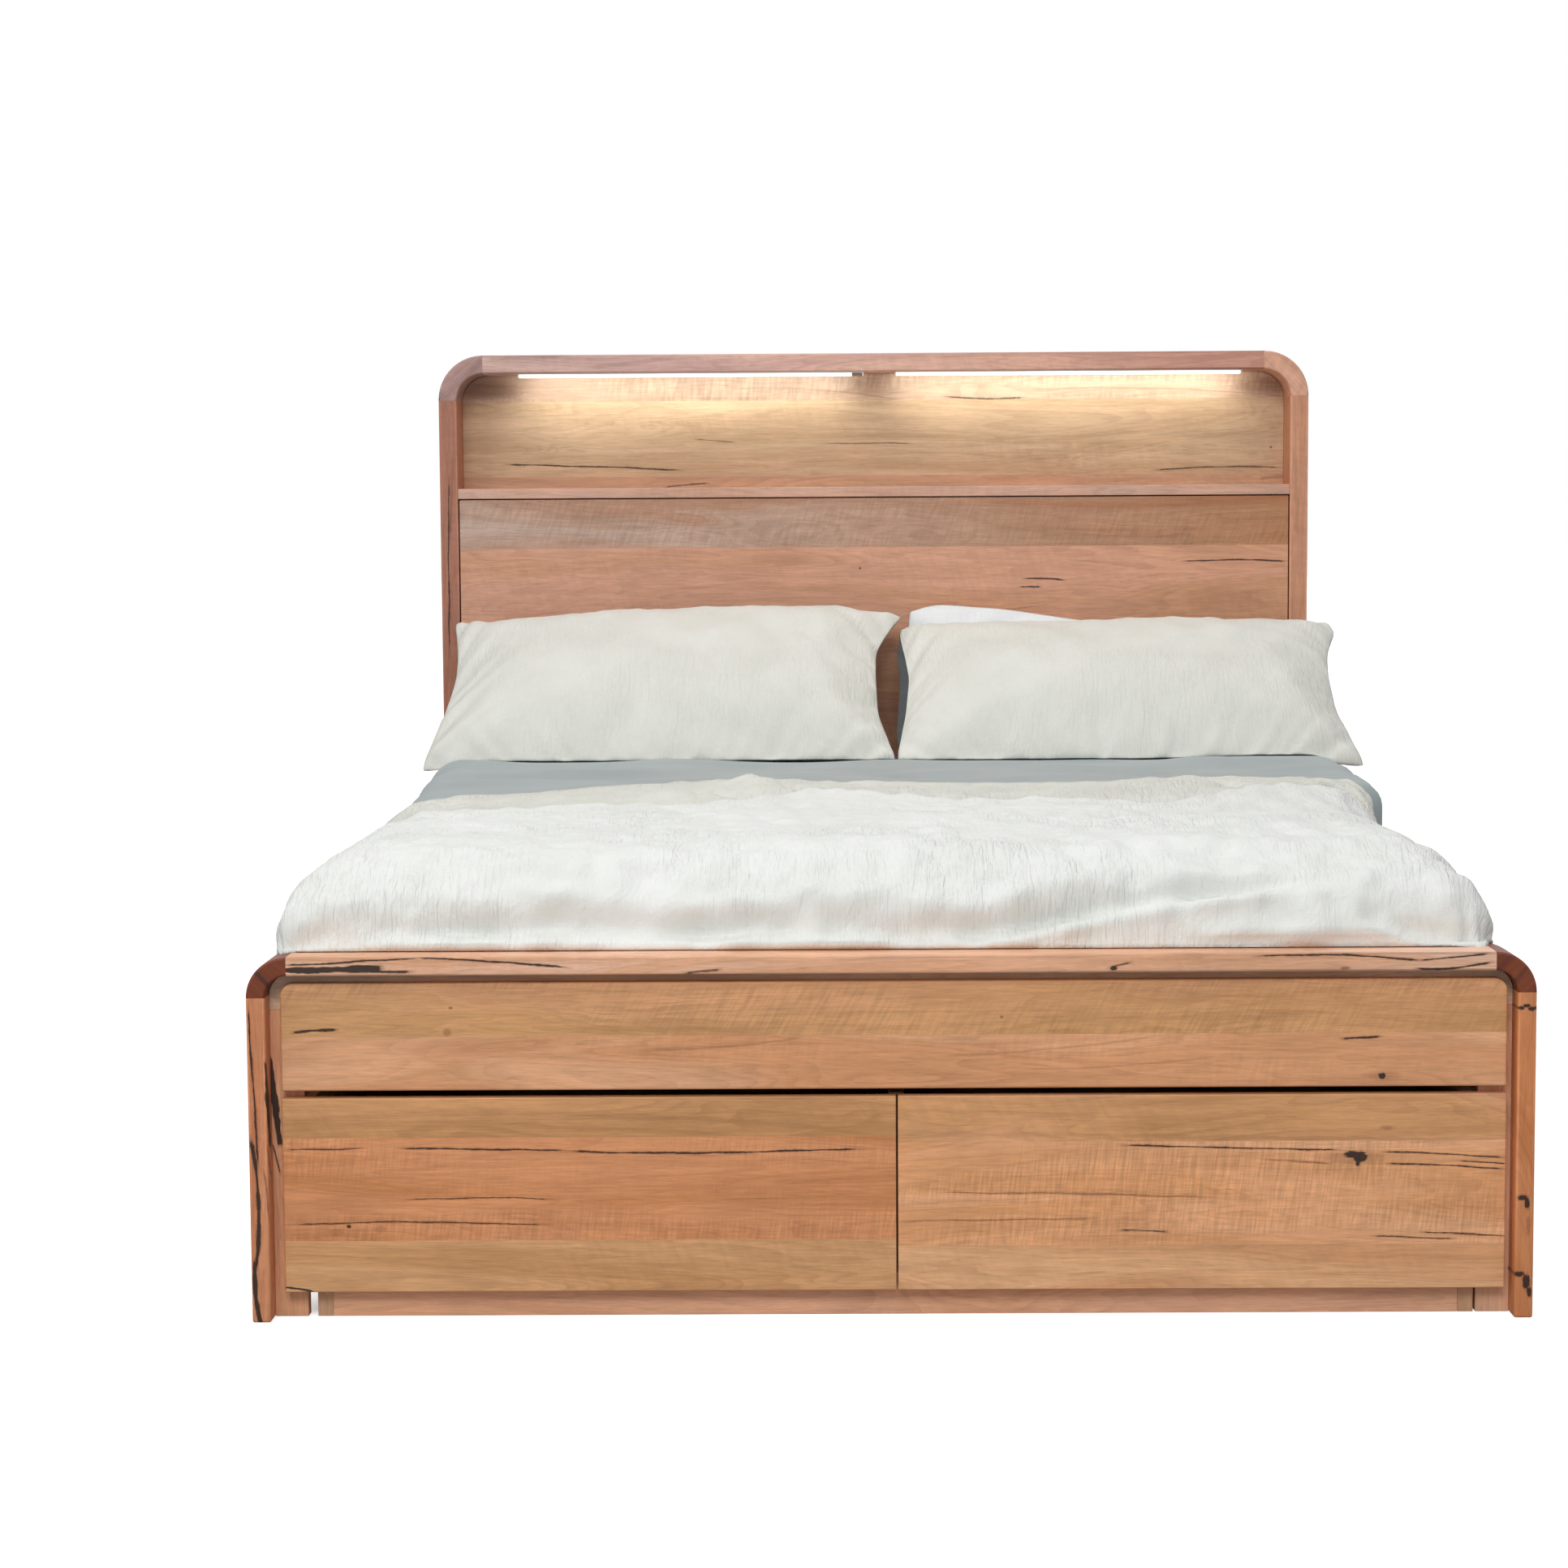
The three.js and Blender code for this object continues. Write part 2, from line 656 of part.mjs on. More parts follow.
// Soft ridges in the duvet: middle and slope in shares of its half width and its length
const ridgeShares = [
  { x: -0.62, y: 0.1, slope: 0.05, reach: 0.3, rise: 0.9 },
  { x: 0.42, y: 0.14, slope: 0.16, reach: 0.34, rise: 1 },
  { x: -0.1, y: 0.05, slope: -0.03, reach: 0.4, rise: 0.6 },
  { x: 0.75, y: 0.3, slope: 0.3, reach: 0.2, rise: 0.5 },
  { x: -0.35, y: 0.62, slope: 0.04, reach: 0.4, rise: 0.35 },
];

function duvetTop(x, y) {
  const foot = footboardRear + duvetFootGap;
  const length = duvetHead - foot;
  const crown = duvetCrown * (1 - (x / duvetBulge) ** 2);
  const turnDown = turnDownRise * THREE.MathUtils.smoothstep(y, duvetHead - turnDownWidth - foldWidth / 2,
    duvetHead - turnDownWidth + foldWidth / 2);
  let ridges = 0;
  for (const ridge of ridgeShares) {
    const along = x / duvetBulge - ridge.x;
    const across = y - foot - length * (ridge.y + ridge.slope * along);
    const fade = Math.exp(-((along / ridge.reach) ** 2));
    ridges += foldHeight * ridge.rise * fade * Math.exp(-((across / foldWidth) ** 2));
  }
  return mattressTop + touchGap + duvetThickness + crown + turnDown + ridges;
}

function duvet() {
  const columns = drapeStations(-duvetBulge, duvetBulge, duvetShoulder, duvetShoulder, 16);
  const foot = footboardRear + duvetFootGap;
  const rows = drapeStations(foot, duvetHead, duvetShoulder, duvetThickness, 24);
  const tuck = mattressSide + duvetTuckOverhang;
  place('duvet', drapedCloth(columns, rows, tuck, duvetHem, duvetTop), duvetLinen());
}

function sheetTop(x, y) {
  const foot = duvetHead + touchGap;
  const crestEnd = sheetCrestFoot + sheetCrestWidth;
  const climb = THREE.MathUtils.clamp((y - foot) / (sheetCrestFoot - foot), 0, 1);
  const fall = THREE.MathUtils.smoothstep(y, crestEnd, crestEnd + sheetCrestFall);
  const rise = THREE.MathUtils.lerp(sheetRiseFoot, sheetRiseCrest, climb);
  const sag = sheetRiseUnder * (x / duvetBulge) ** 2;
  return mattressTop + touchGap + THREE.MathUtils.lerp(rise, sheetRiseUnder, fall) - sag / 2;
}

function sheet() {
  const bulge = mattressSide + sheetBulgeOverhang;
  const tuck = mattressSide + sheetTuckOverhang;
  const columns = drapeStations(-bulge, bulge, duvetShoulder, duvetShoulder, 12);
  const rows = drapeStations(duvetHead + touchGap, panelFace - sheetHeadPlay,
    sheetRiseFoot / 2, sheetRiseUnder / 2, 26);
  place('grey_sheet', drapedCloth(columns, rows, tuck, duvetHem, sheetTop), greySheet());
}

// A pillow: two crowned faces on one seam, drawn in between its corners, along a centre line
// that bends from one slope to another and never dips below what it lies on
function pillow(name, side, size, lie, material) {
  const acrossCount = 16;
  const alongCount = 12;
  const bend = (lie.endSlope - lie.startSlope) / size.length;
  const facePoints = (bulge) => {
    const points = [];
    for (let j = 0; j <= alongCount; j += 1) {
      const v = (2 * j) / alongCount - 1;
      for (let i = 0; i <= acrossCount; i += 1) {
        const u = (2 * i) / acrossCount - 1;
        const x = lie.shift + (u * size.width / 2) * (1 - 2 * drawInShare * (1 - v ** 4));
        const run = (size.length / 2) * (1 + v * (1 - 2 * endDrawInShare * (1 - u ** 4)));
        const slope = lie.startSlope + bend * run;
        const fill = ((1 - Math.abs(u) ** 3.2) * (1 - Math.abs(v) ** 2.6)) ** 0.62;
        const y = lie.foot + (Math.sin(slope) - Math.sin(lie.startSlope)) / bend;
        const z = lie.seam + (Math.cos(lie.startSlope) - Math.cos(slope)) / bend;
        const depth = y - bulge * fill * Math.sin(slope);
        const height = z + bulge * fill * Math.cos(slope);
        points.push(new THREE.Vector3(x, depth, Math.max(sheetTop(x, depth) + touchGap, height)));
      }
    }
    return points;
  };
  const points = [...facePoints(size.crown), ...facePoints(-size.back)];
  const row = acrossCount + 1;
  const half = row * (alongCount + 1);
  const faces = [];
  for (let j = 0; j < alongCount; j += 1) {
    for (let i = 0; i < acrossCount; i += 1) {
      const a = j * row + i;
      faces.push(a, a + 1, a + row + 1, a, a + row + 1, a + row);
      faces.push(half + a, half + a + row + 1, half + a + 1, half + a, half + a + row, half + a + row + 1);
    }
  }
  place(`${name}_${side}`, indexed(points, faces), material);
}

// Two front pillows that lean on two white ones, which lean on the headboard
function pillows() {
  const slope = THREE.MathUtils.degToRad;
  for (const [side, sign, overhang] of [
    ['left', -1, frontPillowLeftOverhang], ['right', 1, frontPillowRightOverhang],
  ]) {
    const inner = pillowSplit + sign * pillowSplitGap;
    const outer = sign * (mattressSide + overhang);
    pillow('front_pillow', side, {
      width: Math.abs(outer - inner),
      length: frontPillowLength,
      crown: frontPillowCrown,
      back: frontPillowBack,
    }, {
      shift: (inner + outer) / 2,
      foot: panelFace - frontPillowHeadGap,
      seam: mattressTop + frontPillowRise,
      startSlope: slope(20),
      endSlope: slope(42),
    }, linen());
    pillow('rear_pillow', side, {
      width: mattressSide + rearPillowOverhang - rearPillowMiddleGap,
      length: rearPillowLength,
      crown: rearPillowCrown,
      back: rearPillowBack,
    }, {
      shift: sign * (mattressSide + rearPillowOverhang + rearPillowMiddleGap) / 2,
      foot: panelFace - rearPillowHeadGap,
      seam: mattressTop + rearPillowRise,
      startSlope: slope(8),
      endSlope: slope(74),
    }, whiteCotton());
  }
}

arch('headboard', headboardHeight, headboardDepth, headboardBoard, headboardCorner, headFace,
  headTimber, darkTimber);
headboardCase();
nicheLights();
ledDriver();
arch('footboard', footboardHeight, footboardDepth, footboardBoard, footboardCorner, footFace,
  footTimber, darkTimber);
faceFrame();
drawerCase();
drawers();
sideRails();
slatMat();
mattress();
duvet();
sheet();
pillows();

export default bed;
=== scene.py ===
# A bed with a storage headboard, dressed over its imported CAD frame. Lengths are metres, +Z is
# up, +Y runs from the foot to the headboard, and +X is to the right seen from the foot.
from functools import partial
import bpy
import numpy as np
from mathutils import Matrix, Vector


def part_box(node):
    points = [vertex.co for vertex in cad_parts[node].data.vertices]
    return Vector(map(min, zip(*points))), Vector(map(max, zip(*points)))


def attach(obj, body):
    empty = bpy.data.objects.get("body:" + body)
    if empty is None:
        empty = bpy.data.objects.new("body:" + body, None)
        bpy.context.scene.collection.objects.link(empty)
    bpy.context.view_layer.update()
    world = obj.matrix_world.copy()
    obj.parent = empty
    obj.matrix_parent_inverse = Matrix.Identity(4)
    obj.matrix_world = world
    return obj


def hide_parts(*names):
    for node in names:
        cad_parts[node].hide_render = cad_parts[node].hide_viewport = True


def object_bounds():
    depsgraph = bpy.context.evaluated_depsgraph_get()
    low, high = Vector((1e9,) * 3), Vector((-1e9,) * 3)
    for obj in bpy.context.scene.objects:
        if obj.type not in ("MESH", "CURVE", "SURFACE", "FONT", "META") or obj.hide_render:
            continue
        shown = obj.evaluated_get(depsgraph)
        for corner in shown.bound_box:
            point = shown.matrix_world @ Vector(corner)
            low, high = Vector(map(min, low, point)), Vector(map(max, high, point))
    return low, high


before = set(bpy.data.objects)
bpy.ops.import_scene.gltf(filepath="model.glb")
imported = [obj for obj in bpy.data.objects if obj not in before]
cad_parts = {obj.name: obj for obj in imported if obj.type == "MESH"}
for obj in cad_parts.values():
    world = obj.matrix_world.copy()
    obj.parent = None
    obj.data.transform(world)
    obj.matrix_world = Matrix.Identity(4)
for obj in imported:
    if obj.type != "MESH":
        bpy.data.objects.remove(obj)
cad_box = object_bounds()
scene = bpy.context.scene
scene.view_settings.view_transform = "Standard"

# Camera
# It stands 4.2 m in front of the footboard at eye height and looks 5.4 degrees down. The
# small shift puts the optical axis at its place in the square frame.
pitch, yaw, roll = np.radians([5.403, -0.454, -0.337])
forward = np.array([np.sin(yaw) * np.cos(pitch), np.cos(yaw) * np.cos(pitch), -np.sin(pitch)])
level = np.array([np.cos(yaw), -np.sin(yaw), 0.0])
rise = np.cross(level, forward)
to_right = np.cos(roll) * level + np.sin(roll) * rise
to_top = np.cos(roll) * rise - np.sin(roll) * level
camera_data = bpy.data.cameras.new("camera")
frame_side, focal_length, sensor_width = 1932, 4129.5, 36
camera_data.lens = focal_length / frame_side * sensor_width
camera_data.sensor_width = sensor_width
camera_data.shift_x = -44 / frame_side
camera_data.shift_y = 74 / frame_side
camera = bpy.data.objects.new("camera", camera_data)
camera_axes = np.eye(4)
camera_axes[:3, :3] = np.column_stack([to_right, to_top, -forward])
camera_axes[:3, 3] = (-0.0551, -5.3529, 1.0124)
camera.matrix_world = Matrix(camera_axes.tolist())
scene.collection.objects.link(camera)
scene.camera = camera


def linear(code):
    """An sRGB hex code as linear colour: ((c + 0.055) / 1.055) ^ 2.4, or c / 12.92 when dark."""
    part = np.array([int(code[i:i + 2], 16) for i in (1, 3, 5)]) / 255
    value = np.where(part > 0.04045, ((part + 0.055) / 1.055) ** 2.4, part / 12.92)
    return (*value.tolist(), 1.0)


def add(tree, kind, sockets=(), **settings):
    """Adds one node, sets its properties, and fills its sockets with values or links.

    A second word after the kind is its operation, blend type, interpolation or direction.
    """
    kind, *mode = kind.split()
    made = tree.nodes.new("ShaderNode" + kind)
    words = {"MixRGB": "blend_type", "MapRange": "interpolation_type", "TexWave": "bands_direction"}
    if mode:
        setattr(made, words.get(kind, "operation"), mode[0])
    for key, value in settings.items():
        setattr(made, key, value)
    for key, value in sockets.items() if isinstance(sockets, dict) else enumerate(sockets):
        if isinstance(value, bpy.types.Node):
            value = value.outputs[0]
        if isinstance(value, bpy.types.NodeSocket):
            tree.links.new(value, made.inputs[key])
        elif value is not None:
            made.inputs[key].default_value = value
    return made


def blank(name, data=bpy.data.materials):
    """A new material or world with an empty node tree, and the function that adds nodes to it."""
    made = data.new(name)
    made.use_nodes = True
    made.node_tree.nodes.clear()
    return made, partial(add, made.node_tree)


def new_object(name, points, faces, smooth=False):
    """An object in the scene made of points and faces, which are shaded smooth or flat."""
    mesh = bpy.data.meshes.new(name)
    mesh.from_pydata(np.asarray(points).tolist(), [], faces)
    mesh.polygons.foreach_set("use_smooth", np.full(len(faces), smooth))
    made = bpy.data.objects.new(name, mesh)
    scene.collection.objects.link(made)
    return made


# Studio
# A white floor that keeps the bed's shadow, a broad frontal light above the camera, softer
# ones high at the left and overhead, and an even white surround.
world, put = blank("studio", bpy.data.worlds)
path = put("LightPath")
seen = put("Math MAXIMUM", [path.outputs["Is Camera Ray"], path.outputs["Is Glossy Ray"]])
seen = put("Math MAXIMUM", [seen, path.outputs["Is Transmission Ray"]])
brightness = put("MapRange", [seen, 0, 1, 0.36, 1.0])
surround = put("Background", {"Color": linear("#ffffff"), "Strength": brightness})
put("OutputWorld", {"Surface": surround})
scene.world = world

floor_reach = 60
floor = new_object("floor", np.array([(-1, -1, 0), (1, -1, 0), (1, 1, 0), (-1, 1, 0)]) * floor_reach,
                   [(0, 1, 2, 3)])
floor_material, put = blank("matt white floor")
path = put("LightPath")
matt = put("BsdfDiffuse", {"Color": linear("#b0b0b0")})
lit = put("BsdfDiffuse", {"Color": linear("#e6e6e6")})
# The camera sees the floor brighter than it is, but not in the shade under the bed
place = put("NewGeometry").outputs["Position"]
low, high = (np.array(corner) for corner in cad_box)
apart = put("VectorMath ADD", [place, tuple((-(low + high) / 2).tolist())])
apart = put("VectorMath ABSOLUTE", [apart])
apart = put("VectorMath SUBTRACT", [apart, tuple(((high - low) / 2).tolist())])
outside = put("Math MAXIMUM", put("SeparateXYZ", [apart]).outputs[:2])
near = put("MapRange SMOOTHSTEP", [outside, -0.16, -0.02, 0, 0.68])
far = put("MapRange SMOOTHSTEP", [outside, 0.8, 3.0, 0, 0.3])
strength = put("Math ADD", [near, far])
glow = put("Emission", {"Color": linear("#ffffff"), "Strength": strength})
bright = put("AddShader", [lit, glow])
chosen = put("MixShader", [path.outputs["Is Camera Ray"], matt, bright])
put("OutputMaterial", {"Surface": chosen})
floor.data.materials.append(floor_material)


def soft_light(name, place, aim, width, height, power, colour="#ffffff"):
    """A rectangular lamp that faces its aim: its axes are the aim line and two normals to it."""
    lamp_data = bpy.data.lights.new(name, "AREA")
    lamp_data.shape = "RECTANGLE"
    lamp_data.size = width
    lamp_data.size_y = height
    lamp_data.energy = power
    lamp_data.color = linear(colour)[:3]
    away = np.array(place) - np.array(aim)
    away = away / np.linalg.norm(away)
    side = np.cross((0, 0.01, 1), away)
    side = side / np.linalg.norm(side)
    turn = np.eye(4)
    turn[:3, :3] = np.column_stack([side, np.cross(away, side), away])
    turn[:3, 3] = place
    lamp = bpy.data.objects.new(name, lamp_data)
    lamp.matrix_world = Matrix(turn.tolist())
    scene.collection.objects.link(lamp)
    return lamp


soft_light("front light", (-0.7, -6.6, 4.9), (0, -0.2, 0.6), 3.6, 2.4, 215)
soft_light("low front light", (0.4, -7.0, 1.5), (0, -0.2, 0.5), 2.4, 1.6, 9)
soft_light("left light", (-3.0, -2.2, 3.0), (0, -0.2, 0.4), 1.6, 1.6, 30)
soft_light("overhead light", (0.3, 0.0, 4.0), (0, 0.1, 0.4), 3.0, 3.0, 43)

# Headboard arch
# Two posts and a top rail of pinkish brown hardwood, 34 mm thick and 120 mm deep, joined by
# quarter-round corner blocks cut from solid wood and glued flush. The long edges are eased.


def hardwood(name, veins, knots):
    """Lacquered hardwood on the grain attribute (along, across and through each board).

    Tone: the stave's two colours mixed by noise drawn out along the grain, times its contour
    lines and finer streaks. Ripple figure: bars that lean over the grain, with the lean, pitch
    and strength of the figure attribute. Veins: the distance to a parabola across the board
    plus a wobble, over a width that changes along it. Knots: the distance to an ellipse.
    """
    material, put = blank(name)
    place, stave, figure = (put("Attribute", attribute_name=label).outputs["Vector"]
                            for label in ("grain", "stave", "figure"))
    moved = put("VectorMath ADD", [place, stave])
    axis = put("SeparateXYZ", [moved]).outputs
    along, across, through = put("SeparateXYZ", [place]).outputs

    def stretched(scale, detail, source=moved, **settings):
        """Noise at the given waves per metre along, across and through the grain."""
        vector = put("VectorMath MULTIPLY", [source, scale])
        return put("TexNoise", {"Vector": vector, "Scale": 1, "Detail": detail, **settings})

    # Slow change between the stave's two colours, 0.6 m long and 50 mm wide, and its contours
    flame = stretched((1.5, 15, 12), 2, Roughness=0.5, Distortion=0.9)
    mixed = put("MapRange SMOOTHSTEP", [flame, 0.36, 0.64, 0, 1])
    tones = [put("Attribute", attribute_name=label) for label in ("tone_a", "tone_b")]
    colour = put("MixRGB", [mixed, *tones])
    contour = put("Math FRACT", [put("Math MULTIPLY", [flame, 16.0])])
    late = put("MapRange SMOOTHSTEP", [contour, 0.3, 1.0, 0, 0.26])
    late = put("Math MULTIPLY", [late, stretched((3, 30, 20), 2)])
    colour = put("MixRGB MULTIPLY", [late, colour, linear("#9a7446")])
    # Streaks 90 mm long, and flecks 25 mm long and 2 mm wide
    broad = put("MapRange", [stretched((7, 95, 70), 4, Roughness=0.6), 0.3, 0.7, 0.91, 1.08])
    flecks = stretched((30, 520, 400), 3, Roughness=0.65)
    fleck = put("MapRange", [flecks, 0.3, 0.7, 0.88, 1.09])
    cloud = put("MapRange", [stretched((6, 13, 10), 3), 0.3, 0.7, 0.92, 1.07])
    # Ripple figure
    leaning, pitch, strength = put("SeparateXYZ", [figure]).outputs
    lean = put("Math MULTIPLY_ADD", [axis[1], leaning, axis[0]])
    lean = put("Math MULTIPLY", [lean, pitch])
    bars = put("CombineXYZ", [lean, axis[1], axis[2]])
    ripple = stretched((1, 26, 20), 1, bars, Distortion=0.35)
    ripple = put("MapRange", [ripple, 0.32, 0.68, -0.17, 0.12])
    patch = put("MapRange SMOOTHSTEP", [stretched((2.2, 15, 9), 2), 0.42, 0.6, 0.08, 1])
    patch = put("Math MULTIPLY", [patch, strength])
    ripple = put("Math MULTIPLY_ADD", [ripple, patch, 1.0])
    # Pores: dashes 1 mm wide and 20 mm long, coarser than real ones so that they show
    pore = put("MapRange", [stretched((45, 850, 700), 1), 0.6, 0.76, 1, 0.84])
    for factor in (broad, fleck, cloud, ripple, pore):
        colour = put("MixRGB MULTIPLY", [1, colour, factor])
    # Gum veins and knots, which lean into the board
    wobble = put("Math SUBTRACT", [stretched((13, 45, 0), 3, place), 0.5])
    rough = put("Math SUBTRACT", [stretched((160, 520, 300), 2, place), 0.5])
    swell = put("MapRange", [stretched((27, 60, 0), 2, place), 0.36, 0.62, 0.65, 1.25])
    level = put("Math MULTIPLY_ADD", [through, 0.45, across])
    level = put("Math MULTIPLY_ADD", [wobble, -0.005, level])
    nearest = None
    for middle, half, height, slope, bow, width, dark in veins:
        off = put("Math SUBTRACT", [along, middle / 1000])
        path = put("Math MULTIPLY_ADD", [off, bow, slope])
        path = put("Math MULTIPLY_ADD", [path, off, height / 1000])
        gap = put("Math ABSOLUTE", [put("Math SUBTRACT", [level, path])])
        gap = put("Math DIVIDE", [gap, swell])
        gap = put("Math MULTIPLY_ADD", [rough, 0.0017, gap])
        near = put("MapRange", [gap, width * 0.0006, width * 0.001 + 0.0017, dark, 0])
        ends = put("MapRange", [put("Math ABSOLUTE", [off]), half * 0.00085, half * 0.001 + 0.007, 1, 0])
        near = put("Math MULTIPLY", [near, ends])
        nearest = put("Math MAXIMUM", [nearest, near]) if nearest else near
    for middle, height, half, tall, dark in knots:
        off = put("VectorMath ADD", [place, (-middle / 1000, -height / 1000, 0)])
        off = put("VectorMath MULTIPLY", [off, (1000 / half, 1000 / tall, 0)])
        away = put("VectorMath LENGTH", [off]).outputs["Value"]
        away = put("Math MULTIPLY_ADD", [rough, 1.3, away])
        near = put("MapRange", [away, 0.8, 1.7, dark, 0])
        nearest = put("Math MAXIMUM", [nearest, near])
    stain = put("MapRange", [nearest, 0.05, 0.75, 0, 0.5])
    colour = put("MixRGB", [stain, colour, linear("#6a3c24")])
    core = put("MapRange", [nearest, 0.62, 0.9, 0, 0.93])
    colour = put("MixRGB", [core, colour, linear("#231b19")])
    # The satin lacquer follows the pores a little
    gloss = put("MapRange", [flecks, 0.3, 0.7, 0.42, 0.54])
    relief = put("Math MULTIPLY", [pore, fleck])
    bump = put("Bump", {"Strength": 0.12, "Distance": 0.0004, "Height": relief})
    shader = put("BsdfPrincipled", {"Base Color": colour, "Roughness": gloss, "IOR": 1.5,
                                    "Normal": bump, "Specular IOR Level": 0.35})
    put("OutputMaterial", {"Surface": shader})
    return material


def board(node, timber, axes, staves, joints=(), flush="", ease=0.0025, arch=0.0, rings=1, seed=0,
          veined=False, drift=("#ffffff", "#ffffff"), form=None, box=None, name=None, body="bed_frame"):
    """A board in its CAD node's box: rings along the grain, columns across it, front and back.

    The timber gives its material; its slot is not used. The axes run along, across and through it.
    The long edges follow a quarter circle: across = edge + r (1 - cos), depth = face +
    r (1 - sin). So do the rings at an end, unless it is glued flush. With an arch radius R the
    upper edge falls at both ends: top = high - R + sqrt(R^2 - (R - distance to the end)^2).
    Each stave has two tones, and may have its ripple figure's lean, bars per metre and strength.
    A drift tints the tones from the start to the end, for all staves or for each.
    """
    order = ["xyz".index(axis) for axis in axes]
    low, high = (np.array(corner, float)[order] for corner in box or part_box(node))
    quarter = np.linspace(0, np.pi / 2, 5)
    eased = ease * (1 - np.cos(quarter)), 0.85 * ease * (1 - np.sin(quarter))
    square = np.zeros((2, 1))
    (start, sunk_start), (end, sunk_end) = (square if at in flush else eased for at in ("start", "end"))
    bend = arch * (1 - np.cos(np.linspace(0, np.pi / 2, 14)[1:]))
    bend = bend[bend > 1.05 * ease]
    between = np.linspace(low[0], high[0], rings + 1)[1:-1]
    along = np.concatenate([low[0] + start, low[0] + bend, between, high[0] - bend[::-1],
                            high[0] - end[::-1]])
    unsunk = np.zeros(2 * len(bend) + len(between))
    inset = np.concatenate([sunk_start, unsunk, sunk_end[::-1]])[:, None]
    reach = np.clip(np.minimum(along - low[0], high[0] - along), 0, arch)
    top = (high[1] - arch + np.sqrt(arch ** 2 - (arch - reach) ** 2))[:, None]
    radius = ease - inset
    left, right = low[1] + inset, top - inset
    aside, down = radius * (1 - np.cos(quarter)), radius * (1 - np.sin(quarter))
    inner = np.clip(np.tile(np.array(joints, float), (len(along), 1)), left + radius, right - radius)
    across = np.hstack([left + aside, inner, right - aside[:, ::-1]])
    sink = inset + np.hstack([down, np.zeros_like(inner), down[:, ::-1]])
    grid = np.broadcast_to(along[:, None], across.shape)
    local = np.concatenate([np.stack([grid, across, low[2] + sink], -1).reshape(-1, 3),
                            np.stack([grid, across, high[2] - sink], -1).reshape(-1, 3)])
    f = np.arange(across.size).reshape(across.shape)
    b = f + across.size
    stave = np.searchsorted(5 + np.arange(len(joints)), np.arange(across.shape[1] - 1), side="right")
    curved = np.isin(np.arange(len(stave)), [0, 1, 2, 3, *range(len(stave) - 4, len(stave))])
    last = np.array([len(joints)])
    parts = [
        (f[:-1, :-1], f[:-1, 1:], f[1:, 1:], f[1:, :-1], stave, curved),
        (b[:-1, :-1], b[1:, :-1], b[1:, 1:], b[:-1, 1:], stave, curved),
        (f[:-1, :1], f[1:, :1], b[1:, :1], b[:-1, :1], 0 * last, last < 0),
        (f[:-1, -1:], b[:-1, -1:], b[1:, -1:], f[1:, -1:], last, last < 0),
        (f[:1, :-1], b[:1, :-1], b[:1, 1:], f[:1, 1:], stave, stave < 0),
        (f[-1:, :-1], f[-1:, 1:], b[-1:, 1:], b[-1:, :-1], stave, stave < 0),
    ]
    faces = np.concatenate([np.stack(part[:4], -1).reshape(-1, 4) for part in parts])
    stave = np.concatenate([np.broadcast_to(part[4], part[0].shape).ravel() for part in parts])
    curved = np.concatenate([np.broadcast_to(part[5], part[0].shape).ravel() for part in parts])
    if form:
        placed, grain = form(local)
    else:
        placed = local[:, np.argsort(order)]
        grain = local - (0, 0, low[2])
    grain = grain + (0, 0 if veined else 10, 0)
    # Turn the faces outward: the volume under them has to be positive
    spots = placed[faces]
    volume = spots[:, 0] * (np.cross(spots[:, 1], spots[:, 2]) + np.cross(spots[:, 2], spots[:, 3]))
    faces = faces if volume.sum() > 0 else faces[:, ::-1]
    piece = new_object(name or f"{node}_board", placed, faces.tolist(), curved)
    shift = np.random.default_rng(seed + 7).uniform(-40, 40, (len(staves), 3))[stave]
    figure = np.array([(*one[2:], *(0.3, 90, 0.5)[len(one) - 2:]) for one in staves], float)[stave]
    new_attribute = piece.data.attributes.new
    for label, domain, values in [("grain", "POINT", grain), ("stave", "FACE", shift),
                                  ("figure", "FACE", figure)]:
        new_attribute(label, "FLOAT_VECTOR", domain).data.foreach_set("vector", values.ravel())
    share = ((local[:, 0] - low[0]) / (high[0] - low[0]))[faces][..., None]
    drifts = drift if isinstance(drift[0], tuple) else [drift] * len(staves)
    tints = [np.array([linear(one[at]) for one in drifts])[stave][:, None] for at in (0, 1)]
    drifted = tints[0] * (1 - share) + tints[1] * share
    for column, label in enumerate(["tone_a", "tone_b"]):
        tone = np.array([linear(one[column]) for one in staves])[stave][:, None] * drifted
        new_attribute(label, "FLOAT_COLOR", "CORNER").data.foreach_set("color", tone.ravel())
    slot, material = timber
    piece.data.materials.append(material)
    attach(piece, body)
    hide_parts(node)
    return piece


def corner_block(node, sign, thick, radial, timber, staves, rings, seed):
    """A board bent to a quarter ring: x = middle + sign r cos t, z = foot + r sin t, with the
    outer radius R, t = along / R and r = R - thickness + across. Its grain runs along the
    ring's chord, or from the inside out when it is radial."""
    low, high = (np.array(corner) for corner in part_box(node))
    outer = high[2] - low[2]
    middle = high[0] - outer if sign > 0 else low[0] + outer

    def bent(local):
        turn, radius = local[:, 0] / outer, outer - thick + local[:, 1]
        x, z = middle + sign * radius * np.cos(turn), low[2] + radius * np.sin(turn)
        chord, out = sign * (sign * x - z) / np.sqrt(2), (z + sign * x) / np.sqrt(2)
        grain = (out, chord) if radial else (chord, out)
        return np.stack([x, local[:, 2], z], -1), np.stack([*grain, local[:, 2] - low[1]], -1)

    board(node, timber, "xyz", staves, flush="start end", ease=0.003, rings=rings, seed=seed,
          veined=True, form=bent, box=((0, 0, low[1]), (outer * np.pi / 2, thick, high[1])))


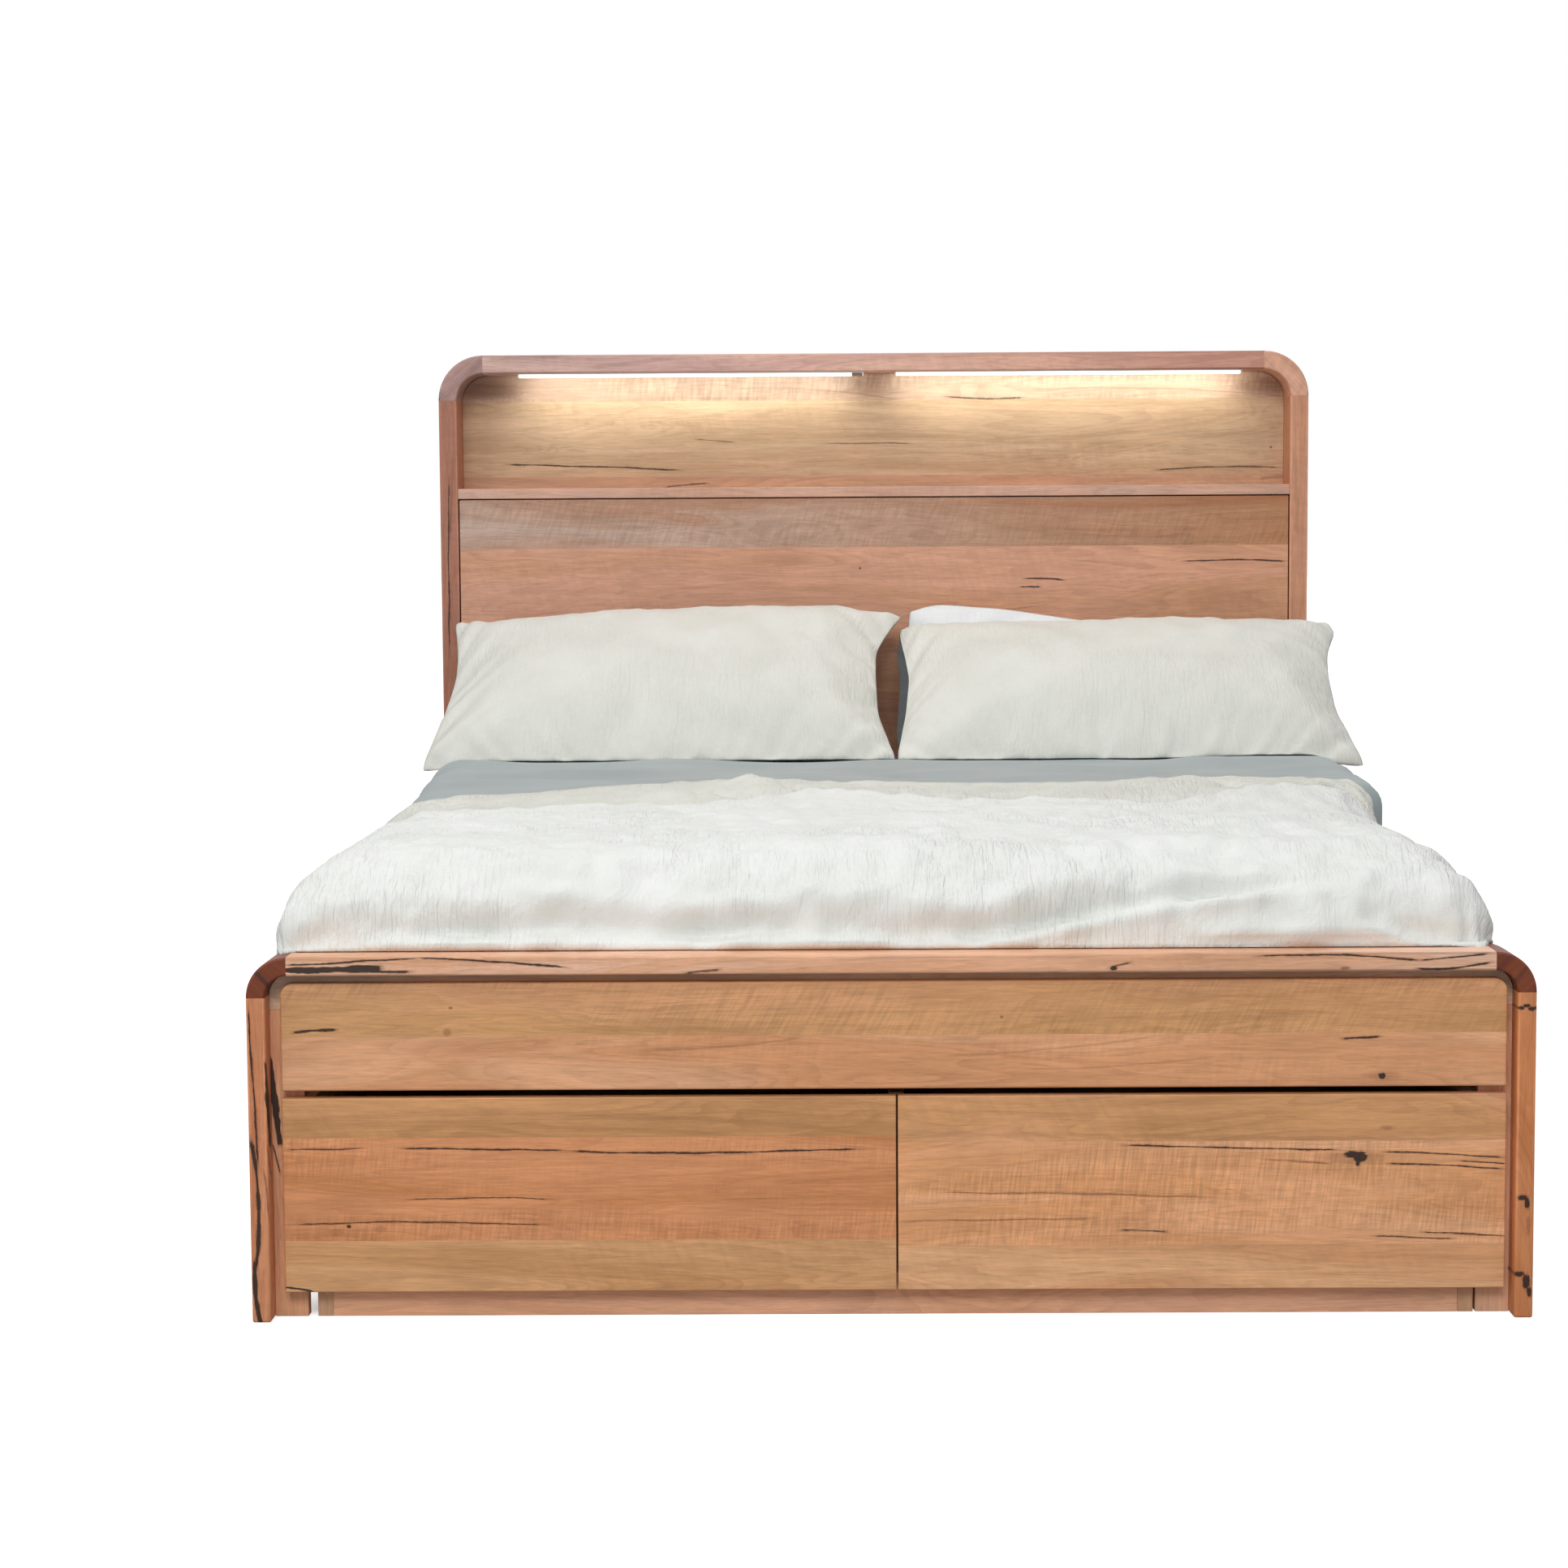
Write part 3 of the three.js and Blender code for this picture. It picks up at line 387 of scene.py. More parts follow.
# Veins: middle, half length, height, slope, bow, half width in millimetres, and darkness
head_timber = "headboard_timber", hardwood("satin lacquered pinkish brown hardwood", [
    (-651, 77, 1334, 0.054, 0, 3.6, 0.32), (-452, 77, 1322, 0.113, 0.26, 4.5, 0.3),
    (353, 60, 1497, 0, -3.2, 7, 0.34), (946, 170, -805.4, 0.014, 0.02, 1.2, 0.9),
    (1077, 76, -798.2, 0.047, 0.06, 1.3, 0.6), (1067, 76, 798.1, -0.028, -0.06, 3.5, 0.3),
    (-536, 177, 1130.2, -0.037, -0.05, 0.9, 1), (-358, 41, 1093.9, 0.08, 0.09, 0.9, 0.85),
    (-302, 37, 1178.2, -0.07, 0.09, 0.7, 0.75), (-8, 86, 1172, -0.01, -0.16, 0.7, 0.75),
    (214, 78, 1254.8, -0.026, 0.61, 0.8, 0.9), (661, 126, 1123.1, 0.016, -0.31, 1.2, 0.85),
    (766, 21, 1102.3, 0.05, 0, 3.4, 0.6), (-109, 163, 1274.2, -0.068, -0.37, 0.7, 0.5),
    (550, 248, 1272.4, -0.034, -0.15, 0.7, 0.5), (323, 38, 912.5, -0.035, -0.7, 1.0, 0.95),
    (296, 18, 898.2, -0.006, 0, 0.9, 0.95), (683, 102, 945.8, -0.006, -0.15, 1.1, 0.9),
    (282, 46, 857.6, 0.11, 0.37, 0.9, 0.6),
# Knots: middle, height, half width and half height in millimetres, and darkness. The last two, wide and
# flat at the niche's upper corners, are painted shade where the light strips don't reach.
], [(762, 1159.6, 2, 2, 0.8), (-26, 934.5, 1.6, 2.4, 0.8), (-740, 1275, 50, 13, 0.6),
    (745, 1275, 42, 13, 0.55)])
# The left post and block are toned greyer and the right ones warmer: partly the wood, partly painted
# light, a cool light from the left and a warm one from the right.
for side, sign, post_staves, block_staves in [
    ("left", -1, [("#bb7d65", "#a9735e", 0.3, 90, 0.3)], [("#b5918a", "#a3837e")]),
    ("right", 1, [("#c98f6c", "#d49a7c", 0.3, 90, 0.3)], [("#ce997c", "#d8a48a")]),
]:
    board(f"headboard_{side}_post", head_timber, "zxy", post_staves, veined=True, seed=3 * sign,
          flush="end", ease=0.003)
    corner_block(f"headboard_{side}_corner_block", sign, 0.034, False, head_timber, block_staves, 18,
                 5 + sign)
# The rail's tone drifts from greyer at the left to warmer and darker at the right: painted light, cool
# from the left and warm from the right.
board("headboard_top_rail", head_timber, "xzy", [("#eec9b8", "#d6b0a8", 0.3, 90, 0.3)], veined=True,
      seed=11, flush="start end", ease=0.003, drift=("#ffffff", "#f1d5c6"))

# Headboard case
# A back panel glued up from wide boards, a shelf, and a front panel of two boards below it with
# a 2 mm gap round it. They close a shallow case that stands between the posts.
board("headboard_back_panel", head_timber, "xzy",
      [("#c59c7c", "#b68d6e"), ("#c09375", "#cc9f7e", 0.3, 90, 0.2),
       ("#cdac8b", "#bf9c7a", 0.3, 90, 0.25), ("#d2ae94", "#bd9b84", -0.1, 150, 1.0)],
      joints=(0.70, 1.1105, 1.2540), veined=True, seed=21, arch=0.052, ease=0.001)
board("headboard_shelf", head_timber, "xyz", [("#d4ad9c", "#daa98f", 0.3, 90, 0.3)], seed=23,
      ease=0.0015)
# The drifts warm the boards towards their right ends, the top board most: painted light, cool from the
# left and warm from the right.
board("headboard_front_panel", head_timber, "xzy",
      [("#c4947b", "#b38369"), ("#c6967c", "#d6a384"), ("#e3bcab", "#d7b198", 0.3, 90, 0.25),
       ("#c6ac9e", "#bb937c", -0.35, 150, 0.6)],
      joints=(0.42, 0.70, 0.9745), veined=True, seed=25, ease=0.0015,
      drift=[("#ffffff", "#fbeadb"), ("#ffffff", "#fbeadb"), ("#f4dfcf", "#f9dfc9"),
             ("#ffffff", "#efc69b")])


def plain_wood(name, along_scale, tones, fine):
    """Plain wood: two tones mixed by noise drawn out along the grain, times finer streaks."""
    material, put = blank(name)
    place, stave = (put("Attribute", attribute_name=label).outputs["Vector"]
                    for label in ("grain", "stave"))
    moved = put("VectorMath ADD", [place, stave])
    wide = put("VectorMath MULTIPLY", [moved, along_scale])
    cloud = put("TexNoise", {"Vector": wide, "Scale": 1, "Detail": 4, "Distortion": 0.8})
    cloud = put("MapRange", [cloud, 0.35, 0.65, 0, 1])
    wood = put("MixRGB", [cloud, linear(tones[0]), linear(tones[1])])
    narrow = put("VectorMath MULTIPLY", [moved, fine])
    streaks = put("TexNoise", {"Vector": narrow, "Scale": 1, "Detail": 3})
    streak = put("MapRange", [streaks, 0.3, 0.7, 0.9, 1.07])
    wood = put("MixRGB MULTIPLY", [1, wood, streak])
    shader = put("BsdfPrincipled", {"Base Color": wood, "Roughness": 0.58, "IOR": 1.5})
    put("OutputMaterial", {"Surface": shader})
    return material, put, shader, wood, place


# Birch plywood, clear matt lacquer: its edges show thin pale and darker layers 1.5 mm thick
birch = [("#dec39a", "#d2b287")]
birch_plywood, put, shader, wood, place = plain_wood(
    "matt lacquered birch plywood", (2.0, 26, 5), birch[0], (30, 600, 60))
depth = put("SeparateXYZ", [place]).outputs[2]
layers = put("Math MODULO", [depth, 0.0029])
layers = put("Math GREATER_THAN", [layers, 0.00145])
edge = put("MixRGB", [layers, linear("#ffffff"), linear("#d7b48c")])
wood = put("MixRGB MULTIPLY", [1, wood, edge])
birch_plywood.node_tree.links.new(wood.outputs[0], shader.inputs["Base Color"])
ply = "birch_ply", birch_plywood
board("headboard_case_floor", ply, "xyz", birch, seed=31, ease=0.001)

# Light strips
# Two anodised aluminium bases with end caps under the top rail, each with a frosted
# polycarbonate cover lit from inside. Their light falls mostly back onto the niche.


def bare_metal(name, colour, stretch, scale, detail, smooth, rough):
    """Metal whose roughness varies between two values by noise stretched along its axes."""
    material, put = blank(name)
    place = put("TexCoord").outputs["Object"]
    place = put("VectorMath MULTIPLY", [place, stretch])
    noise = put("TexNoise", {"Vector": place, "Scale": scale, "Detail": detail})
    rough = put("MapRange", [noise, 0.3, 0.7, smooth, rough])
    shader = put("BsdfPrincipled", {"Base Color": linear(colour), "Metallic": 1.0,
                                    "Roughness": rough})
    put("OutputMaterial", {"Surface": shader})
    return material


# Fine lines drawn along the extrusion
anodised = bare_metal("natural anodised aluminium extrusion", "#c9cbcd", (8, 2500, 2500), 1, 2,
                      0.3, 0.42)
frosted, put = blank("frosted polycarbonate light cover with a painted shade end")
# The last 22 mm of the left cover give no light, as no diodes lie behind them, and their
# colour is a painted shade of dark brown for the shadow in the gap between the strips
place = put("SeparateXYZ", [put("TexCoord").outputs["Object"]])
past = put("Math GREATER_THAN", [place, -0.040])
before = put("Math LESS_THAN", [place, 0.0])
dark = put("Math MULTIPLY", [past, before])
power = put("MapRange", [dark, 0, 1, 1.3, 0.0])
tint = put("MixRGB", [dark, linear("#fff4e0"), linear("#8a6a52")])
shader = put("BsdfPrincipled", {"Base Color": tint, "Roughness": 0.5, "IOR": 1.58,
                                "Emission Color": linear("#fff6e6"), "Emission Strength": power})
put("OutputMaterial", {"Surface": shader})
for side in ("left", "right"):
    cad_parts[f"led_profile_{side}"].data.materials[0] = anodised
    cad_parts[f"led_diffuser_{side}"].data.materials[0] = frosted
    low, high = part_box(f"led_diffuser_{side}")
    right_end = high.x - (0.022 if side == "left" else 0)
    middle = (low.x + right_end) / 2, high.y + 0.004, (low.z + high.z) / 2
    strip = soft_light(f"{side} light strip", middle, (middle[0], 1.113, middle[2] - 0.036),
                       right_end - low.x, 0.006, 0.36, "#f4fff6")
    strip.data.spread = np.radians(120)
    strip.visible_camera = False

# Driver of the lights
# A moulded black ABS case under the case floor, with a two-pin socket at its rear.
moulded, put = blank("spark textured black abs")
place = put("TexCoord").outputs["Object"]
grit = put("TexNoise", {"Vector": place, "Scale": 1400, "Detail": 1})
bump = put("Bump", {"Strength": 0.3, "Distance": 0.0001, "Height": grit})
shader = put("BsdfPrincipled", {"Base Color": linear("#1d1d1f"), "Roughness": 0.55, "IOR": 1.54,
                                "Normal": bump})
put("OutputMaterial", {"Surface": shader})
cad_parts["led_driver"].data.materials[0] = moulded

# Footboard arch
# The same build in 24 mm boards 100 mm deep, of warmer orange tan hardwood with black gum
# veins. Its corner blocks are dark reddish brown, cut with the grain running outward.
foot_wood = hardwood("satin lacquered orange tan hardwood with gum veins", [
    (-684, 88, 465.9, 0.048, 0.1, 0.8, 1), (-505, 99, 465.9, -0.073, -0.2, 0.8, 1),
    (-712, 66, 456.4, 0.010, 0.1, 3.9, 1.5), (-664, 56, 453.8, -0.020, 0.1, 1.6, 1.0),
    (-238, 21, 451.4, 0.085, 0.24, 1.3, 0.85), (569, 108, 468.4, -0.027, -0.31, 0.7, 1),
    (714, 43, 464.7, 0.097, 0.76, 0.8, 1), (714, 48, 451.5, 0.081, 1.45, 1.0, 1),
    (291, 12, 457.4, 0.237, -0.59, 0.6, 0.85), (307, 107, -812.2, -0.041, -0.05, 0.8, 1),
    (153, 90, -808.6, -0.019, -0.95, 2.2, 1.1), (39, 43, -814.3, -0.074, 1.8, 2.8, 1.2),
    (166, 31, -798, -0.098, -0.31, 0.6, 0.75), (300, 36, -792.0, -0.1, 0.09, 2.4, 1.6),
    (262, 36, -789.5, -0.1, 0.09, 4.6, 1.6), (207, 19, -790.6, -0.23, -1.1, 0.6, 0.9),
    (-735, 27, 375.8, 0.074, -0.69, 1.1, 1.1), (600, 23, 360.6, 0.065, 0.06, 0.9, 1),
    (205, 141, 347.9, 0.088, 0.21, 0.7, 0.4), (292, 125, 325.9, 0.062, 0.2, 0.7, 0.36),
    (-211, 96, 352.9, 0.071, 0.45, 0.6, 0.5), (-276, 135, 376.8, -0.016, -0.2, 3.4, 0.26),
    (-724, 51, 222.4, 0.012, 0.11, 0.6, 0.85), (-523, 110, 221.5, -0.016, -0.02, 0.7, 1),
    (-226, 198, 216, 0.004, 0.095, 0.8, 1), (-527, 95, 158.3, -0.003, -0.19, 0.7, 0.85),
    (-605, 173, 127, -0.004, -0.11, 0.7, 0.85), (-763, 18, 40.6, -0.144, -2.1, 1.3, 1.1),
    (-395, 387, 266.8, -0.029, -0.12, 3.4, 0.26), (394, 386, 233.2, -0.017, 0, 3.4, 0.3),
    (436, 146, 219.2, -0.03, -0.015, 0.7, 0.95), (706, 81, 210.3, -0.05, -0.17, 0.6, 0.9),
    (757, 30, 199.2, -0.066, -0.26, 0.6, 0.9), (521, 42, 201.1, -0.062, -0.19, 0.5, 0.7),
    (709, 78, 195, -0.054, -0.18, 0.6, 0.9), (236, 182, 160.3, -0.022, -0.035, 0.6, 0.7),
    (138, 130, 126.9, 0.012, 0, 0.6, 0.68), (324, 30, 112.3, -0.032, -0.86, 0.8, 0.85),
    (733, 55, 106.2, -0.048, 0.03, 0.6, 0.9), (669, 52, 102.4, -0.035, -0.17, 0.6, 0.85),
    (880, 60, -250, 0.04, 0, 4.5, 0.8), (880, 60, 252, -0.04, 0, 3.5, 0.7),
], [
    (283, 453.4, 4.1, 2.6, 1), (577, 452, 5.1, 2, 0.7), (-566, 373.2, 4.1, 4.1, 0.62),
    (-561, 404.3, 2.1, 1.6, 0.7), (142, 389.4, 1.6, 1.6, 0.7), (627, 311.3, 4.1, 3.6, 1.1),
    (627, 311.8, 18, 5, 0.4), (592, 210, 11, 3.6, 1.2), (600, 206.5, 8, 6.0, 1.2),
    (597, 198.6, 2.6, 4, 0.9), (596, 206, 30, 9, 0.34), (634, 244.1, 7.2, 2.2, 0.6),
    (-696, 122, 2.6, 2.1, 0.9), (-712, 114.6, 8, 4, 0.4), (-656, 117.6, 6, 4, 0.4),
    (400, 800, 2, 4, 1), (403, 807, 2, 4, 1.1), (399, 813, 2.4, 4, 1), (400, 818, 2, 3, 1),
    (156, 805, 3.4, 6, 0.9), (149, 811, 7, 3, 1.0), (120, 813, 10, 2, 0.6), (57, 802, 3, 6, 1.0),
    (47, 811, 8, 4, 1.2), (34, 815, 6, 3, 0.9),
])
foot_timber = "footboard_timber", foot_wood
for side, sign, staves in [("left", -1, [("#dd976d", "#c98057", 0.3, 90, 0.3)]),
                           ("right", 1, [("#dd9361", "#c87e4d", 0.3, 90, 0.3)])]:
    board(f"footboard_{side}_post", foot_timber, "zxy", staves, veined=True, seed=41 + sign,
          flush="end", ease=0.003)
    corner_block(f"footboard_{side}_corner_block", sign, 0.024, True, ("corner_timber", foot_wood),
                 [("#824127", "#63301e", 0.3, 90, 0.3)], 14, 47 + sign)
board("footboard_top_rail", foot_timber, "xzy", [("#f7c9ae", "#e8b08a", 0.3, 90, 0.3)], veined=True,
      seed=51, flush="start end", ease=0.003)

# Face frame and fascia
# Two stiles and a top rail close the arch behind the drawer fronts; the fascia board of two
# glued boards lies on them, with rounded top corners and a finger slot below it.
for side, staves, seed in [("left", [("#f1b48c", "#dca47d", 0.3, 90, 0.2)], 61),
                           ("right", [("#eebc9a", "#daa381", 0.3, 90, 0.2)], 62)]:
    board(f"face_frame_{side}_stile", foot_timber, "zxy", staves, veined=True, seed=seed, ease=0.001)
# The top rail's pale tones are partly its wood and partly painted light, for the strip of it that shows
# lit in the shade under the arch.
board("face_frame_top_rail", foot_timber, "xzy", [("#f2d3b6", "#e8c3a0", 0.3, 90, 0.2)], seed=63,
      arch=0.03, ease=0.001)
board("fascia_board", foot_timber, "xzy",
      [("#f7bf95", "#e9aa7c", -0.2, 150, 0.3), ("#d5a16e", "#e0a87a", -0.55, 190, 0.65)],
      joints=(0.3672,), veined=True, seed=64, arch=0.0165, ease=0.003,
      drift=[("#eee8e2", "#ffffff"), ("#ffffff", "#fffbf7")])

# Drawer case
# Two ends that stand on the floor, a plywood partition and back, and a kickboard between the
# ends under the drawers.
for side, seed in (("left", 71), ("right", 72)):
    board(f"drawer_case_{side}_end", foot_timber, "zyx", [("#d8ac8a", "#cfa27e", 0.3, 90, 0.1)],
          seed=seed, ease=0.001)
for node, axes, seed in (("partition", "yzx", 73), ("back", "xzy", 74)):
    board(f"drawer_case_{node}", ply, axes, birch, seed=seed, ease=0.001)
board("kickboard", foot_timber, "xzy", [("#f9bf9b", "#f2b68f", 0.3, 90, 0.1)], seed=75, ease=0.001,
      drift=("#ffffff", "#f1f1f1"))

# Drawers
# Fronts of three glued boards lie over plywood boxes, which run on zinc-plated steel runners
# with a spangle 6 mm wide.
zinc = bare_metal("bright zinc plated rolled steel", "#b9bcc0", (1, 1, 1), 160, 3, 0.26, 0.4)
for body, joints, staves, seed in [
    ("left_drawer", (0.1030, 0.2366),
     [("#d49e6c", "#e0ab7a", 0.4, 90, 0.3), ("#e49e6e", "#d38e5c", -0.12, 330, 0.7),
      ("#cb9563", "#dba26f", 0.6, 80, 0.3)], 81),
    ("right_drawer", (0.0937, 0.2280),
     [("#eeb98a", "#e0a577", 0.4, 90, 0.2), ("#f7ba8c", "#e9a875", -0.12, 330, 0.9),
      ("#e6ab7f", "#dca36e", 0.6, 80, 0.3)], 86),
]:
    board(f"{body}_front", foot_timber, "xzy", staves, joints=joints, veined=True, seed=seed,
          ease=0.0015, body=body)
    for node, axes in (("left_side", "yzx"), ("right_side", "yzx"), ("back", "xzy"), ("floor", "xyz")):
        board(f"{body}_{node}", ply, axes, birch, seed=seed + len(node), ease=0.001, body=body)
    for node in ("left_case_runner", "right_case_runner", "left_drawer_runner", "right_drawer_runner"):
        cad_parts[f"{body}_{node}"].data.materials[0] = zinc

# Side rails, ledges, centre beam and leg
# The rails are the footboard's hardwood; the ledges, beam and leg are planed pine.
pine = [("#e3c79b", "#cfa571")]
planed = "frame_timber", plain_wood("planed pine", (1.6, 60, 45), pine[0], (10, 420, 300))[0]
for side, seed in (("left", 91), ("right", 93)):
    board(f"side_rail_{side}", foot_timber, "yzx",
          [("#cf9f7c", "#c08c63"), ("#c79a72", "#bb8a5e")], joints=(0.305,), seed=seed, ease=0.003)
    board(f"slat_ledge_{side}", planed, "yzx", pine, seed=seed + 1)
board("centre_beam", planed, "yzx", pine, seed=95)
board("centre_leg", planed, "zxy", pine, seed=96)

# Slats
# Fourteen pine slats, 70 mm wide and 18 mm thick, on two woven straps that hold their pitch.
webbing, put = blank("woven polyester webbing")
place = put("TexCoord").outputs["Object"]
weave = put("TexWave Y", {"Vector": place, "Scale": 160})
cross = put("TexWave X", {"Vector": place, "Scale": 160})
threads = put("Math MULTIPLY", [weave, cross])
tint = put("MixRGB", [threads, linear("#c9c6bd"), linear("#e9e7e0")])
bump = put("Bump", {"Strength": 0.4, "Distance": 0.0003, "Height": threads})
shader = put("BsdfPrincipled", {"Base Color": tint, "Roughness": 0.85, "Normal": bump})
put("OutputMaterial", {"Surface": shader})
low, high = (np.array(corner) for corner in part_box("slat_mat"))
slat_width, slat_count, under = 0.070, 14, high[2] - 0.018
for number, foot in enumerate(np.linspace(low[1], high[1] - slat_width, slat_count)):
    board("slat_mat", planed, "xyz", pine, seed=100 + number, ease=0.003, name=f"slat_{number + 1:02d}",
          box=((low[0], foot, under), (high[0], foot + slat_width, high[2])))
for side, middle in (("left", -0.4), ("right", 0.4)):
    board("slat_mat", ("frame_timber", webbing), "yxz", pine, ease=0.0005, name=f"slat_strap_{side}",
          box=((middle - 0.019, low[1], under - 0.002), (middle + 0.019, high[1], under)))

# Mattress
# A quilted knit cover over springs and foam, 245 mm thick. Its upper edge is pressed round
# under the tucked bedding.
knit, put = blank("quilted cotton knit cover")
place = put("TexCoord").outputs["Object"]
turned = put("Mapping", {"Vector": place, "Rotation": (0, 0, 0.785)})
one = put("TexWave X", {"Vector": turned, "Scale": 3.1})
two = put("TexWave Y", {"Vector": turned, "Scale": 3.1})
quilt = put("Math MULTIPLY", [one, two])
quilt = put("Math POWER", [quilt, 0.5])
loops = put("TexNoise", {"Vector": place, "Scale": 700, "Detail": 1})
tint = put("MixRGB", [loops, linear("#d9d3cd"), linear("#e6e1dc")])
pad = put("Bump", {"Strength": 0.7, "Distance": 0.006, "Height": quilt})
fuzz = put("Bump", {"Strength": 0.3, "Distance": 0.0004, "Height": loops, "Normal": pad})
shader = put("BsdfPrincipled", {"Base Color": tint, "Roughness": 0.9, "Sheen Weight": 0.2,
                                "Normal": fuzz})
put("OutputMaterial", {"Surface": shader})
low, high = (np.array(corner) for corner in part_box("mattress"))
mattress_top, upper_edge = high[2], 0.110
turn = np.linspace(0, np.pi / 2, 9)
side = [(low[2], 0.014), (low[2] + 0.004, 0.004), (low[2] + 0.014, 0), (low[2] + 0.016, -0.002),
        (low[2] + 0.020, -0.002), (low[2] + 0.022, 0)]
border = np.linspace(low[2] + 0.05, high[2] - upper_edge, 6)
side += [(z, -0.001 * (number % 2)) for number, z in enumerate(border)]
side += [(high[2] - upper_edge * (1 - np.sin(a)), upper_edge * (1 - np.cos(a))) for a in turn[1:]]
corners = np.repeat([(1, 1), (-1, 1), (-1, -1), (1, -1)], 8, axis=0)
around = np.concatenate([np.linspace(0, np.pi / 2, 8) + quarter * np.pi / 2 for quarter in range(4)])
rings = []
for z, inset in side:
    corner_radius = max(0.060 - inset, 0.010)
    centre = (high - low)[:2] / 2 - inset - corner_radius
    plan = corners * centre + corner_radius * np.stack([np.cos(around), np.sin(around)], -1)
    rings.append(np.column_stack([plan + (low + high)[:2] / 2, np.full(len(around), z)]))
points = np.concatenate(rings)
ring = np.arange(len(points)).reshape(-1, len(around))
after = np.roll(ring, -1, axis=1)
faces = np.stack([ring[:-1], after[:-1], after[1:], ring[1:]], -1).reshape(-1, 4).tolist()
faces += [ring[0, ::-1].tolist(), ring[-1].tolist()]
mattress = new_object("mattress_cover", points, faces, np.arange(len(faces)) < len(faces) - 2)
mattress.data.materials.append(knit)
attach(mattress, "bed_frame")
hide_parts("mattress")

# Duvet
# A washed linen cover over a thin filling. It drops inside the side rails, bulges over the
# footboard's rail, and ends in a soft edge behind which its turned-back border lies lower.


def ripples(x, y, seed, longest, shortest, count=22, squeeze=(1, 1)):
    """Smooth uneven height: a sum of cosines with random directions, phases and wavelengths.

    Each wave's weight grows with its length; the sum is scaled to a spread of about 1.
    """
    chance = np.random.default_rng(seed)
    length = np.exp(chance.uniform(np.log(shortest), np.log(longest), count))
    angle = chance.uniform(0, np.pi, count)
    phase = chance.uniform(0, 2 * np.pi, count)
    weight = length / np.sqrt((length ** 2).sum() / 2)
    total = np.zeros(np.broadcast(x, y).shape)
    for one, a, p, w in zip(length, angle, phase, weight):
        run = x * squeeze[0] * np.cos(a) + y * squeeze[1] * np.sin(a)
        total += w * np.cos(2 * np.pi / one * run + p)
    return total


def bell(value, middle, width):
    """exp of minus the squared distance from the middle over the width."""
    return np.exp(-((value - middle) / width) ** 2)


def ramp(value, start, end):
    """0 before the start, 1 after the end, and 3 t^2 - 2 t^3 between them."""
    t = np.clip((value - start) / (end - start), 0, 1)
    return t * t * (3 - 2 * t)


def over_edge(s, half, radius):
    """Cloth over a round edge: flat to half - radius, then a quarter circle, then down.

    Gives the place across, which is radius sin(turn) past the flat, and the drop,
    radius (1 - cos(turn)) plus what hangs below the quarter circle.
    """
    past = np.maximum(np.abs(s) - (half - radius), 0)
    turn = np.minimum(past / radius, np.pi / 2)
    across = np.sign(s) * (np.minimum(np.abs(s), half - radius) + radius * np.sin(turn))
    return across, radius * (1 - np.cos(turn)) + np.maximum(past - radius * np.pi / 2, 0)


def quads(index):
    """The four corners of each cell of a grid of numbers."""
    return np.stack([index[:-1, :-1], index[:-1, 1:], index[1:, 1:], index[1:, :-1]], -1).reshape(-1, 4)


def mapped(name, points, faces, flat):
    """A smooth cloth object whose map gives each point's place on the flat cloth in metres."""
    piece = new_object(name, points, faces.tolist(), True)
    cloth_map = piece.data.uv_layers.new(name="cloth")
    cloth_map.data.foreach_set("uv", flat[faces.ravel()].ravel())
    return piece


def cloth_grid(name, points, flat, material, height, thick):
    """A grid of points moved along its normals by the height, mapped in metres by flat.

    The normal is the cross product of the grid's two directions; the thickness lies under it.
    """
    normal = np.cross(np.gradient(points, axis=1), np.gradient(points, axis=0))
    normal /= np.maximum(np.linalg.norm(normal, axis=-1, keepdims=True), 1e-9)
    moved = points + normal * height[..., None]
    faces = quads(np.arange(points[..., 0].size).reshape(points.shape[:2]))
    piece = mapped(name, moved.reshape(-1, 3), faces, flat.reshape(-1, 2))
    piece.data.materials.append(material)
    solid = piece.modifiers.new("thickness", "SOLIDIFY")
    solid.thickness = thick
    solid.offset = -1
    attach(piece, "bed_frame")
    return piece


